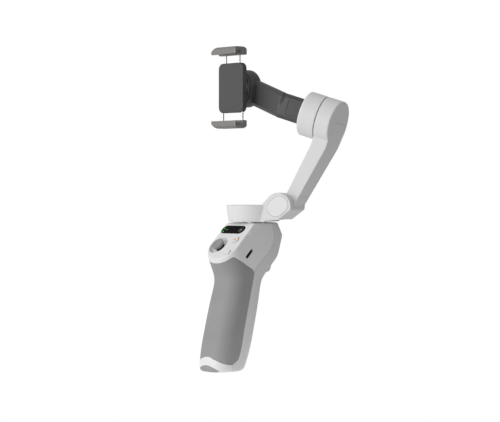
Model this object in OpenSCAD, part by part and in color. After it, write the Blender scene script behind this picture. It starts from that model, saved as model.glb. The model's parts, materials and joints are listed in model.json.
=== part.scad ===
// Hand-held three-axis phone gimbal with a folding arm and a magnetic phone clamp.
// The origin is the tripod thread's centre in the foot, +Z is up, -Y faces the user.

/* [Grip] */
// Width of the grip across its middle
grip_w = 39.4; // [36:0.2:44]
// Depth of the grip from front to back at its fullest
grip_d = 46; // [42:0.5:50]
// Height from the foot to the neck under the head
grip_h = 89; // [80:1:110]
// Backward lean of the grip, in degrees
grip_lean = 13.4; // [10:0.2:16]
// Corner radius of the grip's section
grip_corner_r = 14; // [11:0.5:15]
// Thickness of the rubber sleeve
sleeve_t = 2.4; // [1.8:0.1:3]
// Wall of the hard shells round the battery bay
shell_wall = 2.6; // [2:0.1:3.2]
// Height of the ribbed pad at the front of the foot
foot_pad_h = 4.3; // [3:0.1:5]

/* [Head] */
// Height of the head above the grip's neck
head_h = 55.9; // [52:0.1:60]
// Radius of the head at its widest
head_r = 27.3; // [26:0.1:29]
// Width between the head's flat sides
head_w = 41; // [40:0.2:44]
// Radius of the flat top under the pan motor
neck_r = 22.3; // [21:0.1:24]
// Pan axis behind the grip's centre at its neck
head_back = 22.8; // [20:0.1:25]
// Width of the sloping control panel
panel_w = 40.8; // [39:0.2:41]
// Thickness of the control panel
panel_t = 4.5; // [4.2:0.1:5]

/* [Controls] */
// Diameter of the joystick's cap
stick_d = 12.4; // [10:0.2:13]
// Diameter of the dish round the joystick
dish_d = 21.2; // [20:0.2:22]
// Diameter of the record button
record_d = 8; // [6:0.2:9]
// Length of the display window
display_l = 33; // [30:0.5:34]
// Width of the display window
display_w = 11; // [9:0.5:12]
// Travel of the push buttons
button_travel = 0.6; // [0.3:0.1:0.8]
// Width of the trigger
trigger_w = 16; // [12:0.5:18]

/* [Arms] */
// Gap between the handle and the pan arm
neck_gap = 1; // [0.6:0.1:2]
// Radius of the pan cover at its foot
pan_foot_r = 26.4; // [25:0.1:28]
// Radius of the pan cover at its top
pan_top_r = 28.8; // [28:0.1:30]
// Height of the pan cover
pan_h = 16.5; // [16:0.1:20]
// Direction of the pan arm round the pan axis, in degrees
arm_turn = 27.3; // [10:0.1:40]
// Distance from the pan axis to the fold hinge
hinge_reach = 31.6; // [31:0.1:36]
// Height of the fold hinge above the pan cover's foot
hinge_rise = 15.4; // [14:0.1:18]
// Radius of the hinge ears
ear_r = 13.5; // [12.5:0.1:15]
// Width of the pan arm over both hinge ears
ear_w = 46; // [44:0.5:50]
// Thickness of the front hinge ear
front_ear_t = 11; // [9:0.5:13]
// Thickness of the rear hinge ear
rear_ear_t = 5.5; // [4.5:0.1:7]
// Radius of the hinge pin
hinge_pin_r = 3; // [2:0.1:4]
// Length of the upper arm from the hinge to its bend
arm_len = 72.8; // [60:0.2:90]
// Lean of the upper arm from upright, in degrees
arm_lean = 30.2; // [24:0.2:34]
// Distance from the fold axis to the upper arm's outer face
arm_outer = 11.2; // [10:0.1:12]
// Thickness of the upper arm at the fold hinge
arm_root_t = 12.8; // [11:0.1:14]
// Thickness of the upper arm at its bend
arm_tip_t = 15.5; // [14:0.1:16]
// Thickness of the upper arm's outer cover
arm_cover_t = 2.2; // [1.6:0.1:3]

/* [Tilt motor] */
// Radius of the tilt motor's housings
tilt_r = 21.5; // [20:0.1:24]
// Length of each half of the tilt motor
tilt_half = 16; // [15:0.1:20]
// Gap between the two halves
tilt_gap = 0.8; // [0.5:0.1:1.2]
// Distance from the upper arm's bend to the tilt axis
tilt_rise = 25.7; // [24:0.1:32]
// Slope of the tilt axis, down and outwards, in degrees
tilt_drop = 17.9; // [10:0.1:25]

/* [Roll arm] */
// Distance along the tilt axis from its outer face to the phone's centre
phone_reach = 120.9; // [115:0.1:130]
// Height of the roll arm's bar
bar_h = 25.5; // [20:0.1:30]
// Thickness of the roll arm's bar
bar_t = 8; // [7:0.1:10]
// Distance from the phone's middle plane to the bar's middle plane
bar_back = 25.7; // [25.7:0.1:28]
// Radius of the roll motor
roll_r = 19; // [17:0.1:21]

/* [Clamp] */
// Width of the phone between the jaws at rest
phone_w = 71.6; // [70:0.1:76]
// Thickness of the phone that the jaws are drawn round
phone_t = 7.6; // [6.9:0.1:9]
// Width of the jaws
jaw_w = 36; // [32:0.5:40]
// Thickness of a jaw above or below the phone
jaw_t = 5.2; // [4:0.1:7]
// Overlap of a jaw's lip over the phone's face
jaw_lip = 2.4; // [1.5:0.1:3]
// Thickness of the clamp's base
clamp_t = 6; // [5.5:0.1:7]
// Height of the clamp's base
clamp_h = 50; // [46:0.5:54]
// Radius of the jaws' guide rods
rod_r = 1.2; // [1:0.05:1.4]

/* [Fits] */
// Radius of the tripod thread's bore, at the thread's crests
thread_r = 2.6; // [2.5:0.05:3]
// Length of the tripod thread
thread_l = 8; // [6:0.5:10]
// Running clearance of pins and shafts in their bores
run_c = 0.05; // [0.02:0.01:0.09]
// Clearance round buttons and other moving pieces
move_c = 0.3; // [0.2:0.05:0.5]
// Radius of the motor shafts
shaft_r = 3; // [2.5:0.1:3.4]

/* [Hidden] */
$fn = 64;
hull_fn = 28;
over = 1;
slab = 0.2;
big = 400;

// Colours
light = [0.80, 0.80, 0.80];
shade = [0.70, 0.70, 0.71];
rubber = [0.47, 0.47, 0.48];
dark = [0.27, 0.27, 0.28];
steel = [0.66, 0.67, 0.69];
jaw_metal = [0.55, 0.53, 0.52];
black = [0.05, 0.05, 0.06];
brass = [0.75, 0.62, 0.32];
green = [0.25, 0.85, 0.35];
board_green = [0.10, 0.35, 0.22];

// Places that follow from the driving dimensions
waist_y = grip_h * tan(grip_lean);
pan_y = waist_y + head_back;
top_z = grip_h + head_h;
panel_tilt = 45;
panel_y = pan_y - head_r * 0.97;
panel_z = top_z - head_h * 0.12;
arm_z = top_z + neck_gap;
hinge_z = arm_z + hinge_rise;

// The grip's sections from the foot up, as shares of its height, width and depth
grip_height_shares = [0, 0.035, 0.33, 0.65, 1];
grip_width_shares = [0.87, 0.955, 1, 0.997, 0.985];
grip_depth_shares = [0.84, 0.93, 1, 0.97, 0.915];

// The head's rings from low to high: heights as shares of its height, radii of its radius
ring_height_shares = [0.40, 0.775];
ring_radius_shares = [0.83, 1];

// The seam between the side shell and the back shell, behind the pan axis and below the head's top,
// as shares of the head's radius and height
seam_back_shares = [0.187, 0.227, 0.136, -0.23];
seam_drop_shares = [0, 0.26, 0.44, 0.63];
spine_d = grip_d * 0.09;

// The joint frames, in the arm's upright plane: first outwards from the pan axis, then up
hinge_at = [hinge_reach, hinge_z];
arm_dir = [sin(arm_lean), cos(arm_lean)];
arm_side = [cos(arm_lean), -sin(arm_lean)];
tilt_out = [cos(tilt_drop), -sin(tilt_drop)];
tilt_up = [sin(tilt_drop), cos(tilt_drop)];
bend_at = hinge_at + arm_outer * arm_side + arm_len * arm_dir;
tilt_face = bend_at + tilt_rise * tilt_up;
tilt_inner_l = 2 * tilt_half + tilt_gap;
phone_at = tilt_face - phone_reach * tilt_out;
phone_x = phone_at[0] * cos(arm_turn);
phone_y = pan_y + phone_at[0] * sin(arm_turn);
phone_z = phone_at[1];

// The roll arm's elbow, where the bar along the tilt axis meets the bar behind the phone
bar_y = phone_y + bar_back;
elbow_g = (bar_y - pan_y) / sin(arm_turn);
elbow_l = (tilt_face[0] - elbow_g) / cos(tilt_drop);
elbow_x = elbow_g * cos(arm_turn);
elbow_z = tilt_face[1] + elbow_l * sin(tilt_drop);
bar_slope = atan2(phone_z - elbow_z, elbow_x - phone_x);
bar_run = norm([elbow_x - phone_x, phone_z - elbow_z]);

// The stack on the roll axis, from the phone's back to the bar
clamp_front = phone_y + phone_t / 2 + move_c / 3;
clamp_back = clamp_front + clamp_t;
plate_t = 1.9;
plate_back = clamp_back + plate_t;
rotor_t = 2.5;
rotor_back = plate_back + rotor_t;
roll_gap = 0.4;
bar_front = bar_y - bar_t / 2;

// Widths at the fold hinge, in the hinge's own frame with -Y towards the front ear
ear_front = -ear_w / 2;
slot_front = ear_front + front_ear_t;
ear_back = ear_w / 2;
slot_back = ear_back - rear_ear_t;
knuckle_gap = 0.1;
knuckle_r = ear_r - move_c;

// Points on an arc about c from angle a0 to a1, in n steps
function arc(c, r, a0, a1, n) =
    [for (i = [0 : n]) let (a = a0 + (a1 - a0) * i / n) c + r * [cos(a), sin(a)]];

// Frames
module pan_axis() { translate([0, pan_y, 0]) children(); }
module arm_plane() { pan_axis() rotate([0, 0, arm_turn]) children(); }
module fold_axis() { arm_plane() translate([hinge_at[0], 0, hinge_at[1]]) children(); }
// The tilt axis is this frame's X, out of the motor's outer face, and its Z is up the face
module tilt_axis() {
    arm_plane() translate([tilt_face[0], 0, tilt_face[1]]) rotate([0, tilt_drop, 0]) children();
}
// The panel's frame: X to the user's right, Y up the slope, Z out of the panel
module panel_plane() { translate([0, panel_y, panel_z]) rotate([panel_tilt, 0, 0]) children(); }
// The roll axis's frame: Z runs back along the row's +Y from the phone's middle plane
module roll_axis() { translate([phone_x, phone_y, phone_z]) rotate([-90, 0, 0]) children(); }

// A ring or disc about Z between two heights
module ring(r_out, r_in, low, high) {
    translate([0, 0, low]) linear_extrude(high - low) difference() {
        circle(r_out);
        if (r_in > 0) circle(r_in);
    }
}

// A solid with a side outline in Y and Z, spread over x from -w/2 to w/2
module side_extrude(w) {
    rotate([90, 0, 90]) translate([0, 0, -w / 2]) linear_extrude(w) children();
}

// A rounded rectangle of true arcs
module round_rect(w, d, r) {
    square([w - 2 * r, d], center = true);
    square([w, d - 2 * r], center = true);
    for (sx = [-1, 1], sy = [-1, 1])
        translate([sx * (w / 2 - r), sy * (d / 2 - r)]) circle(r);
}

// A slot outline of length l and width w, along X
module pill(l, w) {
    square([l - w, w], center = true);
    for (sx = [-1, 1]) translate([sx * (l - w) / 2, 0]) circle(w / 2);
}

// One section of the grip, as four corner discs
module grip_slab(i) {
    z = grip_h * grip_height_shares[i];
    w = grip_w * grip_width_shares[i];
    d = grip_d * grip_depth_shares[i];
    for (sx = [-1, 1], sy = [-1, 1])
        translate([sx * (w / 2 - grip_corner_r), z * tan(grip_lean) + sy * (d / 2 - grip_corner_r), z])
            cylinder(r = grip_corner_r, h = slab, $fn = hull_fn);
}
module grip_part(i) { hull() { grip_slab(i); grip_slab(i + 1); } }

module head_ring(z, r) {
    pan_axis() translate([0, 0, z]) intersection() {
        cylinder(r = r, h = slab, $fn = 2 * hull_fn);
        cube([head_w, big, big], center = true);
    }
}

// The panel's outline: square at the top, a half circle at the chin
panel_r = panel_w / 2;
panel_top = head_h * 0.16;
panel_chin = head_h * 0.385;
panel_corner_r = panel_r * 0.2;
module panel_discs(h) {
    translate([0, -panel_chin, -h]) cylinder(r = panel_r, h = h, $fn = 2 * hull_fn);
    for (sx = [-1, 1]) translate([sx * (panel_r - panel_corner_r), panel_top - panel_corner_r, -h])
        cylinder(r = panel_corner_r, h = h, $fn = hull_fn);
}

// The head, from the grip's neck to the flat under the pan motor
module head_part() {
    difference() {
        hull() {
            grip_slab(4);
            for (i = [0, 1])
                head_ring(grip_h + head_h * ring_height_shares[i], head_r * ring_radius_shares[i]);
            head_ring(top_z - slab, neck_r);
            panel_plane() panel_discs(panel_t * 0.8);
        }
        panel_plane() translate([-big / 2, -big / 2, 0]) cube([big, big, big]);
    }
}

// Everything behind the seam
module back_region() {
    seam = [for (i = [0 : 3]) [pan_y + head_r * seam_back_shares[i], top_z - head_h * seam_drop_shares[i]]];
    side_extrude(big) polygon(concat(
        [[pan_y + head_r * seam_back_shares[0], top_z + over]], seam,
        [[waist_y + spine_d, grip_h], [spine_d, 0], [spine_d, -over], [big, -over], [big, top_z + over]]));
}

// The rubber's outline from the side, with its rounded rear corners
sleeve_top_y = pan_y - head_r * 1.685;
sleeve_top_z = panel_z + sleeve_top_y - panel_y - panel_t / cos(panel_tilt);
sleeve_back_z = top_z - head_h * 0.85;
sleeve_low_z = foot_pad_h * 1.55;
sleeve_front_z = foot_pad_h * 3.1;
sleeve_corner_r = sleeve_low_z * 0.8;
module sleeve_region() {
    back_top = sleeve_back_z * tan(grip_lean) + spine_d;
    back_low = sleeve_low_z * tan(grip_lean) + spine_d;
    side_extrude(big) difference() {
        polygon([[back_low, sleeve_low_z], [back_top, sleeve_back_z], [sleeve_top_y, sleeve_top_z],
            [sleeve_top_y - over, sleeve_top_z + over],
            [sleeve_top_y - over - grip_h, sleeve_top_z + over - grip_h],
            [sleeve_top_y - grip_d, sleeve_front_z], [-grip_d * 0.42, sleeve_front_z],
            [-grip_d * 0.3, sleeve_front_z * 0.93], [-grip_d * 0.12, sleeve_front_z * 0.62],
            [0, sleeve_low_z * 1.02]]);
        translate([back_low - sleeve_corner_r, sleeve_low_z - over]) difference() {
            square([2 * sleeve_corner_r, sleeve_corner_r + over]);
            translate([0, sleeve_corner_r + over]) circle(sleeve_corner_r);
        }
    }
}

// The hard core under the rubber: a leaning prism between the cap and the head
core_low = foot_pad_h * 1.4;
core_w = grip_w * 0.955 - 2 * sleeve_t;
core_d = grip_d * 0.915 - 2 * sleeve_t;
core_r = grip_corner_r - sleeve_t;
module lean() { rotate([-grip_lean, 0, 0]) children(); }
module core() {
    lean() translate([0, 0, core_low]) linear_extrude(grip_h) round_rect(core_w, core_d, core_r);
}
// The battery bay inside the core
bay_w = core_w - 2 * shell_wall;
bay_d = core_d - 2 * shell_wall;
bay_r = core_r - shell_wall;
bay_low = thread_l + 2 * shell_wall;
// Battery cell, and the room for its wiring above it
cell_r = 9.1;
cell_l = 65;
cell_cap_r = cell_r * 0.4;
bay_spare = 9;
bay_high = bay_low + cell_l + bay_spare;
module bay() {
    lean() translate([0, 0, bay_low]) linear_extrude(bay_high - bay_low)
        round_rect(bay_w, bay_d, bay_r);
}

// The room in the head under the pan motor, and the pocket behind the panel
room_r = neck_r - 3 * shell_wall;
room_low = grip_h + head_h * 0.42;
stator_t = 4;
module head_room() {
    pan_axis() ring(room_r, 0, room_low, top_z - stator_t);
}
pocket_r = panel_r - 1.5 * shell_wall;
pocket_top = panel_top - 2 * shell_wall;
pocket_t = 11;
// The pocket's outline follows the panel's, with a gap to it
module pocket_outline(gap) {
    translate([0, -panel_chin]) circle(pocket_r - gap);
    translate([-pocket_r + gap, -panel_chin])
        square([2 * (pocket_r - gap), panel_chin + pocket_top - gap]);
}
module panel_pocket() {
    panel_plane() translate([0, 0, -panel_t - pocket_t]) linear_extrude(pocket_t) pocket_outline(0);
}
module handle_rooms() { bay(); head_room(); panel_pocket(); stator_seat(); }

// The tripod insert's seat
insert_r = 5;
insert_l = thread_l + 1.5;
module insert_seat() { ring(insert_r, 0, -over, insert_l); }

// Handle screws through the back shell
screw_r = 1.5;
screw_z_shares = [0.35, 0.62];
module screw_places() {
    for (s = screw_z_shares) {
        z = grip_h * s;
        translate([0, z * tan(grip_lean) + bay_d / 2, z]) rotate([-90 - grip_lean, 0, 0])
            translate([0, 0, shell_wall * 0.6]) children();
    }
}

// Front half of the handle, with the head's sides
module front_shell() color(light) difference() {
    union() {
        difference() {
            head_part();
            sleeve_region();
        }
        core();
    }
    back_region();
    panel_slab(panel_t);
    handle_rooms();
    usb_seat();
    power_seat();
    cap_region();
    insert_seat();
}

module panel_slab(t) {
    panel_plane() translate([-big / 2, -big / 2, -t]) cube([big, big, big]);
}

// Rear half of the handle, down the spine to the foot
module back_shell() color(shade) difference() {
    intersection() {
        union() {
            for (i = [0 : 3]) grip_part(i);
            head_part();
        }
        back_region();
    }
    panel_slab(panel_t);
    handle_rooms();
    insert_seat();
    trigger_seat();
    handle_screws();
}

// Rubber sleeve round the front and the sides of the grip
module grip_sleeve() color(rubber) difference() {
    intersection() {
        union() {
            for (i = [1 : 3]) grip_part(i);
            head_part();
        }
        sleeve_region();
    }
    panel_slab(panel_t);
    core();
    back_region();
    panel_pocket();
}

// The cap's room: everything in front of the seam and below the wave
module cap_region() {
    translate([-big / 2, -big / 2, -over]) cube([big, big, core_low + over]);
}

// Light cap at the foot, with the wave-shaped upper edge that the sleeve meets
module bottom_cap() color(light) difference() {
    for (i = [0, 1]) grip_part(i);
    back_region();
    sleeve_region();
    sleeve_top_cut();
    foot_pad_region();
    insert_seat();
    core();
}
module sleeve_top_cut() {
    translate([-big / 2, -big / 2, sleeve_front_z]) cube([big, big, big]);
}

// Crescent of the foot pad at the front of the foot
pad_half_w = grip_w * 0.4;
pad_arc_r = (pad_half_w * pad_half_w + foot_pad_h * foot_pad_h) / (2 * foot_pad_h);
pad_t = 3;
pad_back_y = -grip_d / 2 * grip_depth_shares[0] + pad_t;
module foot_pad_region() {
    intersection() {
        translate([0, 0, foot_pad_h - pad_arc_r]) rotate([90, 0, 0])
            cylinder(r = pad_arc_r, h = grip_d);
        translate([-grip_w / 2, pad_back_y - grip_d, -over]) cube([grip_w, grip_d, foot_pad_h + 2 * over]);
    }
}
module foot_pad() color(rubber) intersection() {
    for (i = [0, 1]) grip_part(i);
    foot_pad_region();
}

// Brass insert with the tripod thread
module tripod_insert() color(brass) difference() {
    ring(insert_r, 0, 0, insert_l);
    ring(thread_r, 0, -over, thread_l);
}

// Places on the panel, to the right and up the slope from its centre
display_at = [-panel_r * 0.16, 0];
mode_r = display_w * 0.32;
mode_at = display_at + [display_l / 2 - display_w / 2, 0];
stick_at = [-panel_r * 0.44, -head_h * 0.375];
record_at = [panel_r * 0.515, -head_h * 0.25];
switch_at = [panel_r * 0.54, -head_h * 0.55];
switch_l = 8;
switch_w = 6;
window_t = 1.2;
flange_w = 0.6;
flange_t = 1;
button_up = 0.8;

// Control panel on the head's slope
module front_panel() color(light) difference() {
    intersection() {
        head_part();
        panel_slab(panel_t);
    }
    back_region();
    panel_plane() {
        translate([display_at[0], display_at[1], -window_t]) linear_extrude(big) pill(display_l, display_w);
        translate([mode_at[0], mode_at[1], 0]) button_hole(mode_r);
        translate([record_at[0], record_at[1], 0]) button_hole(record_d / 2);
        translate([switch_at[0], switch_at[1], 0]) switch_hole();
        translate([stick_at[0], stick_at[1], 0]) dish();
    }
    stator_seat();
    power_seat();
}
module button_hole(r) {
    ring(r + move_c / 2, 0, -panel_t - over, over);
    ring(r + flange_w + move_c, 0, -panel_t - over, -panel_t + flange_t + button_travel);
}
module button_body(r, up) {
    ring(r, 0, -panel_t + button_travel, up);
    ring(r + flange_w, 0, -panel_t + button_travel, -panel_t + flange_t + button_travel - move_c / 2);
}
module switch_hole() {
    translate([0, 0, -panel_t - over]) linear_extrude(panel_t + 2 * over)
        round_rect(switch_l + move_c, switch_w + move_c, switch_w / 3);
}

// Dish round the joystick
dish_deep = panel_t - 0.6;
dish_floor_r = dish_d / 2 * 0.755;
stick_hole_r = stick_d * 0.37;
module dish() {
    rotate_extrude() polygon([[0, over], [dish_d / 2 + over * 0.6, over], [dish_d / 2, 0],
        [dish_floor_r, -dish_deep], [stick_hole_r, -dish_deep], [stick_hole_r, -panel_t - over],
        [0, -panel_t - over]]);
}

// Black display window
module display_window() color(black) panel_plane() difference() {
    translate([display_at[0], display_at[1], -window_t]) linear_extrude(window_t)
        pill(display_l, display_w);
    translate([mode_at[0], mode_at[1], 0]) ring(mode_r + move_c / 2, 0, -big / 2, big / 2);
    led_places() ring(led_r, 0, -led_deep, over);
}

// Two battery lights at the window's left end
led_r = 0.8;
led_deep = 0.5;
module led_places() {
    for (s = [-1, 1])
        translate([display_at[0] - display_l * 0.36 + s * display_w * 0.04,
            display_at[1] + s * display_w * 0.15, 0]) children();
}
module status_leds() color(green) panel_plane() led_places() ring(led_r, 0, -led_deep, 0);

// USB-C port on the right side, sloped like the panel
usb_l = 9.4;
usb_w = 3.3;
usb_deep = 7;
usb_wall = 0.35;
usb_at = [pan_y - head_r, top_z - head_h * 0.537];
module usb_place() {
    translate([head_w / 2, usb_at[0], usb_at[1]]) rotate([0, 90, 0]) rotate([0, 0, 180])
        rotate([0, 0, -panel_tilt]) children();
}
module usb_seat() { usb_place() translate([0, 0, -usb_deep]) linear_extrude(big / 4) pill(usb_l, usb_w); }
module usb_port() color(steel) usb_place() translate([0, 0, -usb_deep]) {
    linear_extrude(usb_deep - usb_wall) difference() {
        pill(usb_l, usb_w);
        pill(usb_l - 2 * usb_wall, usb_w - 2 * usb_wall);
    }
    linear_extrude(usb_wall) pill(usb_l, usb_w);
    linear_extrude(usb_deep - 4 * usb_wall) square([usb_l * 0.72, usb_w * 0.22], center = true);
}

// Power button on the right side
power_r = 2.1;
power_deep = 2.2;
power_at = [pan_y - head_r * 0.98, top_z - head_h * 0.17];
module power_place() { translate([head_w / 2, power_at[0], power_at[1]]) rotate([0, 90, 0]) children(); }
module power_seat() {
    power_place() {
        ring(power_r + move_c / 2, 0, -power_deep, big / 4);
        ring(power_r + flange_w + move_c / 2, 0, -power_deep - button_travel - flange_t, -power_deep);
    }
}
module power_button() color(shade) power_place() {
    ring(power_r, 0, -power_deep - flange_t * 0.9, move_c);
    ring(power_r + flange_w, 0, -power_deep - flange_t * 0.9, -power_deep - move_c / 2);
}

// Battery cell, leaning with the grip
module battery() color(dark) lean() translate([0, 0, bay_low + move_c]) {
    ring(cell_r, 0, 0, cell_l);
    ring(cell_cap_r, 0, cell_l, cell_l + shell_wall / 2);
}

// Main board behind the panel, seated on the pocket's floor
board_t = 1.2;
board_low = -panel_t - pocket_t;
module main_board() color(board_green) difference() {
    panel_plane() {
        translate([0, 0, board_low]) linear_extrude(board_t) pocket_outline(move_c);
        for (p = [record_at, mode_at, switch_at])
            translate([p[0], p[1], board_low + board_t]) linear_extrude(pocket_t - board_t - key_t - move_c)
                square([key_w, key_w], center = true);
    }
    usb_seat();
}

// Key switches under the three panel buttons, on the board's pillars
key_w = 2.8;
key_t = 1.2;
module key_switches() color(steel) panel_plane()
    for (p = [record_at, mode_at, switch_at])
        translate([p[0], p[1], -panel_t - key_t - move_c]) linear_extrude(key_t)
            square([key_w, key_w], center = true);

// Joystick: a socket on the board, a cross yoke and the cap with its stem
pivot_down = panel_t + 4;
yoke_in_r = 3.2;
yoke_out_r = 4.6;
yoke_half = 1.4;
pin_r = 1;
socket_in_r = yoke_out_r + 0.7;
socket_out_r = socket_in_r + 1.3;
socket_high = panel_t + move_c;
module stick_pivot() { panel_plane() translate([stick_at[0], stick_at[1], -pivot_down]) children(); }
module joystick_socket() color(dark) stick_pivot() difference() {
    ring(socket_out_r, socket_in_r, -(panel_t + pocket_t - board_t - pivot_down), pivot_down - socket_high);
    rotate([0, 90, 0]) cylinder(r = pin_r + run_c, h = big, center = true);
}
module joystick_yoke() color(steel) stick_pivot() {
    ring(yoke_out_r, yoke_in_r, -yoke_half, yoke_half);
    for (s = [-1, 1]) rotate([0, s * 90, 0])
        ring(pin_r, 0, yoke_in_r + pin_r / 2, socket_out_r - pin_r / 2);
    rotate([90, 0, 0]) ring(pin_r, 0, -yoke_in_r - pin_r / 2, yoke_in_r + pin_r / 2);
}
stem_r = 1.6;
hub_r = 2.3;
hub_half = 2;
cap_low = 0.3;
cap_high = 2.6;
stem_high = pivot_down + (cap_low + cap_high) / 2;
module joystick_stem() color(steel) stick_pivot() difference() {
    union() {
        rotate([90, 0, 0]) ring(hub_r, 0, -hub_half, hub_half);
        ring(stem_r, 0, 0, stem_high);
    }
    rotate([90, 0, 0]) cylinder(r = pin_r + run_c, h = big, center = true);
}
module joystick_cap() color(rubber) stick_pivot() difference() {
    translate([0, 0, pivot_down]) rotate_extrude() polygon(concat(
        [[0, cap_low], [stick_d / 2 - cap_low * 2, cap_low], [stick_d / 2, cap_low * 3]],
        arc([stick_d / 2 - cap_low * 2, cap_high - cap_low * 2], cap_low * 2, 0, 90, 4),
        [[0, cap_high - cap_low]]));
    ring(stem_r, 0, 0, stem_high);
}

// Panel buttons
module mode_button() color(dark) panel_plane()
    translate([mode_at[0], mode_at[1], 0]) button_body(mode_r, 0);
module record_button() color(light) panel_plane()
    translate([record_at[0], record_at[1], 0]) button_body(record_d / 2, button_up);
module switch_button() color(light) panel_plane() translate([switch_at[0], switch_at[1], 0])
    translate([0, 0, -panel_t + button_travel]) linear_extrude(panel_t - button_travel + button_up)
        round_rect(switch_l, switch_w, switch_w / 3);

// Screws from the back shell into the core
module handle_screws() color(steel) screw_places() ring(screw_r, 0, 0, shell_wall);

// Trigger at the back, under the head, and its pin
trigger_top = grip_h + head_h * 0.385;
trigger_low = grip_h + head_h * 0.13;
trigger_rise = trigger_top - trigger_low;
trigger_out = head_r * 0.55;
trigger_pin_r = 1.2;
trigger_at = [pan_y + trigger_out * 0.42, trigger_top - trigger_rise * 0.25];
// The trigger's outline: shares of its reach behind the pan axis and of its height
trigger_back_shares = [1.07, 1, 0.9, 0.76, 0.5, 0.2, -0.02, 0.1, 0.45, 0.8];
trigger_high_shares = [0.8, 0.6, 0.3, 0.09, 0, 0.03, 0.3, 0.85, 1, 0.98];
module trigger_outline() {
    polygon([for (i = [0 : len(trigger_back_shares) - 1])
        [pan_y + trigger_out * trigger_back_shares[i], trigger_low + trigger_rise * trigger_high_shares[i]]]);
}
module trigger() color(shade) difference() {
    side_extrude(trigger_w) trigger_outline();
    trigger_bore(trigger_pin_r + run_c);
}
module trigger_bore(r) {
    translate([0, trigger_at[0], trigger_at[1]]) rotate([0, 90, 0])
        cylinder(r = r, h = trigger_w * 2, center = true);
}
module trigger_pin() color(steel) translate([0, trigger_at[0], trigger_at[1]]) rotate([0, 90, 0])
    ring(trigger_pin_r, 0, -trigger_w / 2 - shell_wall, trigger_w / 2 + shell_wall);
module trigger_seat() {
    translate([0, trigger_at[0], trigger_at[1]]) rotate([0, 90, 0])
        ring(trigger_pin_r, 0, -trigger_w / 2 - shell_wall, trigger_w / 2 + shell_wall);
    side_extrude(trigger_w + 2 * move_c) polygon([
        [pan_y - trigger_out * 0.32, trigger_low - over], [pan_y + head_r * 2, trigger_low - over],
        [pan_y + head_r * 2, trigger_top + over / 2], [pan_y - trigger_out * 0.1, trigger_top + over / 2]]);
}

// Pan motor: the flanged stator stands on the head, inside the pan arm's cover
motor_core_r = 12;
rotor_in_r = 12.6;
rotor_out_r = 15.6;
pan_motor_h = pan_h - 4;
bearing_r = 5.2;
rotor_low = 2;
module stator_seat() { pan_axis() ring(neck_r - 2 * shell_wall, 0, top_z - stator_t, big); }
module pan_stator() color(dark) pan_axis() difference() {
    union() {
        ring(neck_r - 2 * shell_wall, 0, top_z - stator_t, top_z);
        ring(motor_core_r, 0, top_z - slab, arm_z + pan_motor_h - rotor_low / 2);
    }
    ring(bearing_r, 0, top_z - stator_t - over, big);
}
module pan_bearing() color(steel) pan_axis()
    ring(bearing_r, shaft_r + run_c, top_z - stator_t, arm_z + pan_motor_h - rotor_low / 2);
module pan_shaft() color(steel) pan_axis() ring(shaft_r, 0, top_z - stator_t, arm_z + pan_motor_h);
module pan_rotor() color(steel) pan_axis()
    ring(rotor_out_r, rotor_in_r, arm_z + rotor_low, arm_z + pan_motor_h);

// Pan arm: the motor's cover and the fold hinge's ears, which run into the cover along two tangents
ear_low_turn = -97;
ear_high_turn = 128;
// Where the rear ear's web is cut back to the ear's round, to let the folded arm in
heel_start = hinge_reach - ear_r * 0.6;
module pan_arm() color(light) arm_plane() difference() {
    union() {
        translate([0, 0, arm_z]) cylinder(r1 = pan_foot_r, r2 = pan_top_r, h = pan_h);
        rotate([90, 0, 0]) translate([0, 0, -ear_w / 2]) linear_extrude(ear_w) {
            translate([hinge_at[0], hinge_at[1]]) circle(ear_r);
            translate([0, arm_z]) square([hinge_reach - ear_r, pan_h]);
            polygon([[0, arm_z], hinge_at + ear_r * [cos(ear_low_turn), sin(ear_low_turn)], hinge_at,
                hinge_at + ear_r * [cos(ear_high_turn), sin(ear_high_turn)], [hinge_reach - ear_r * 1.3, arm_z + pan_h],
                [0, arm_z + pan_h]]);
        }
    }
    translate([0, (slot_front + slot_back) / 2, 0]) rotate([90, 0, 0])
        translate([0, 0, -(slot_back - slot_front) / 2]) linear_extrude(slot_back - slot_front) {
            translate(hinge_at) circle(ear_r + knuckle_gap);
            translate([hinge_reach - ear_r - knuckle_gap, -big]) square([big, big + hinge_at[1]]);
            translate([hinge_reach, 0]) square([big, big]);
            translate([hinge_reach - ear_r * 0.55, hinge_z]) square([big, big]);
        }
    translate([0, ear_back, 0]) rotate([90, 0, 0]) translate([0, 0, -over])
        linear_extrude(rear_ear_t + over) difference() {
            translate([heel_start, 0]) square([big, hinge_z - ear_r * 0.75]);
            translate(hinge_at) circle(ear_r);
        }
    ring(rotor_out_r, 0, arm_z - over, arm_z + pan_motor_h);
    fold_bore(hinge_pin_r);
    cap_seat();
}
pin_half = ear_w / 2 - 2;
module fold_bore(r) {
    translate([hinge_at[0], 0, hinge_at[1]]) rotate([90, 0, 0]) ring(r, 0, -pin_half, pin_half);
}
module hinge_pin() color(steel) fold_axis() rotate([90, 0, 0]) ring(hinge_pin_r, 0, -pin_half, pin_half);

// Oblong cap in the front ear's face
cap_r = 11;
cap_w = 17.8;
cap_t = 0.8;
cap_turn = 37;
module cap_outline() {
    rotate([0, 0, cap_turn]) intersection() {
        circle(cap_r);
        square([2 * cap_r, cap_w], center = true);
    }
}
module cap_seat() {
    translate([hinge_at[0], ear_front + cap_t, hinge_at[1]]) rotate([90, 0, 0])
        linear_extrude(cap_t + over) cap_outline();
}
module hinge_cap() color(light) arm_plane() translate([hinge_at[0], ear_front + cap_t, hinge_at[1]])
    rotate([90, 0, 0]) linear_extrude(cap_t) cap_outline();

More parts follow.
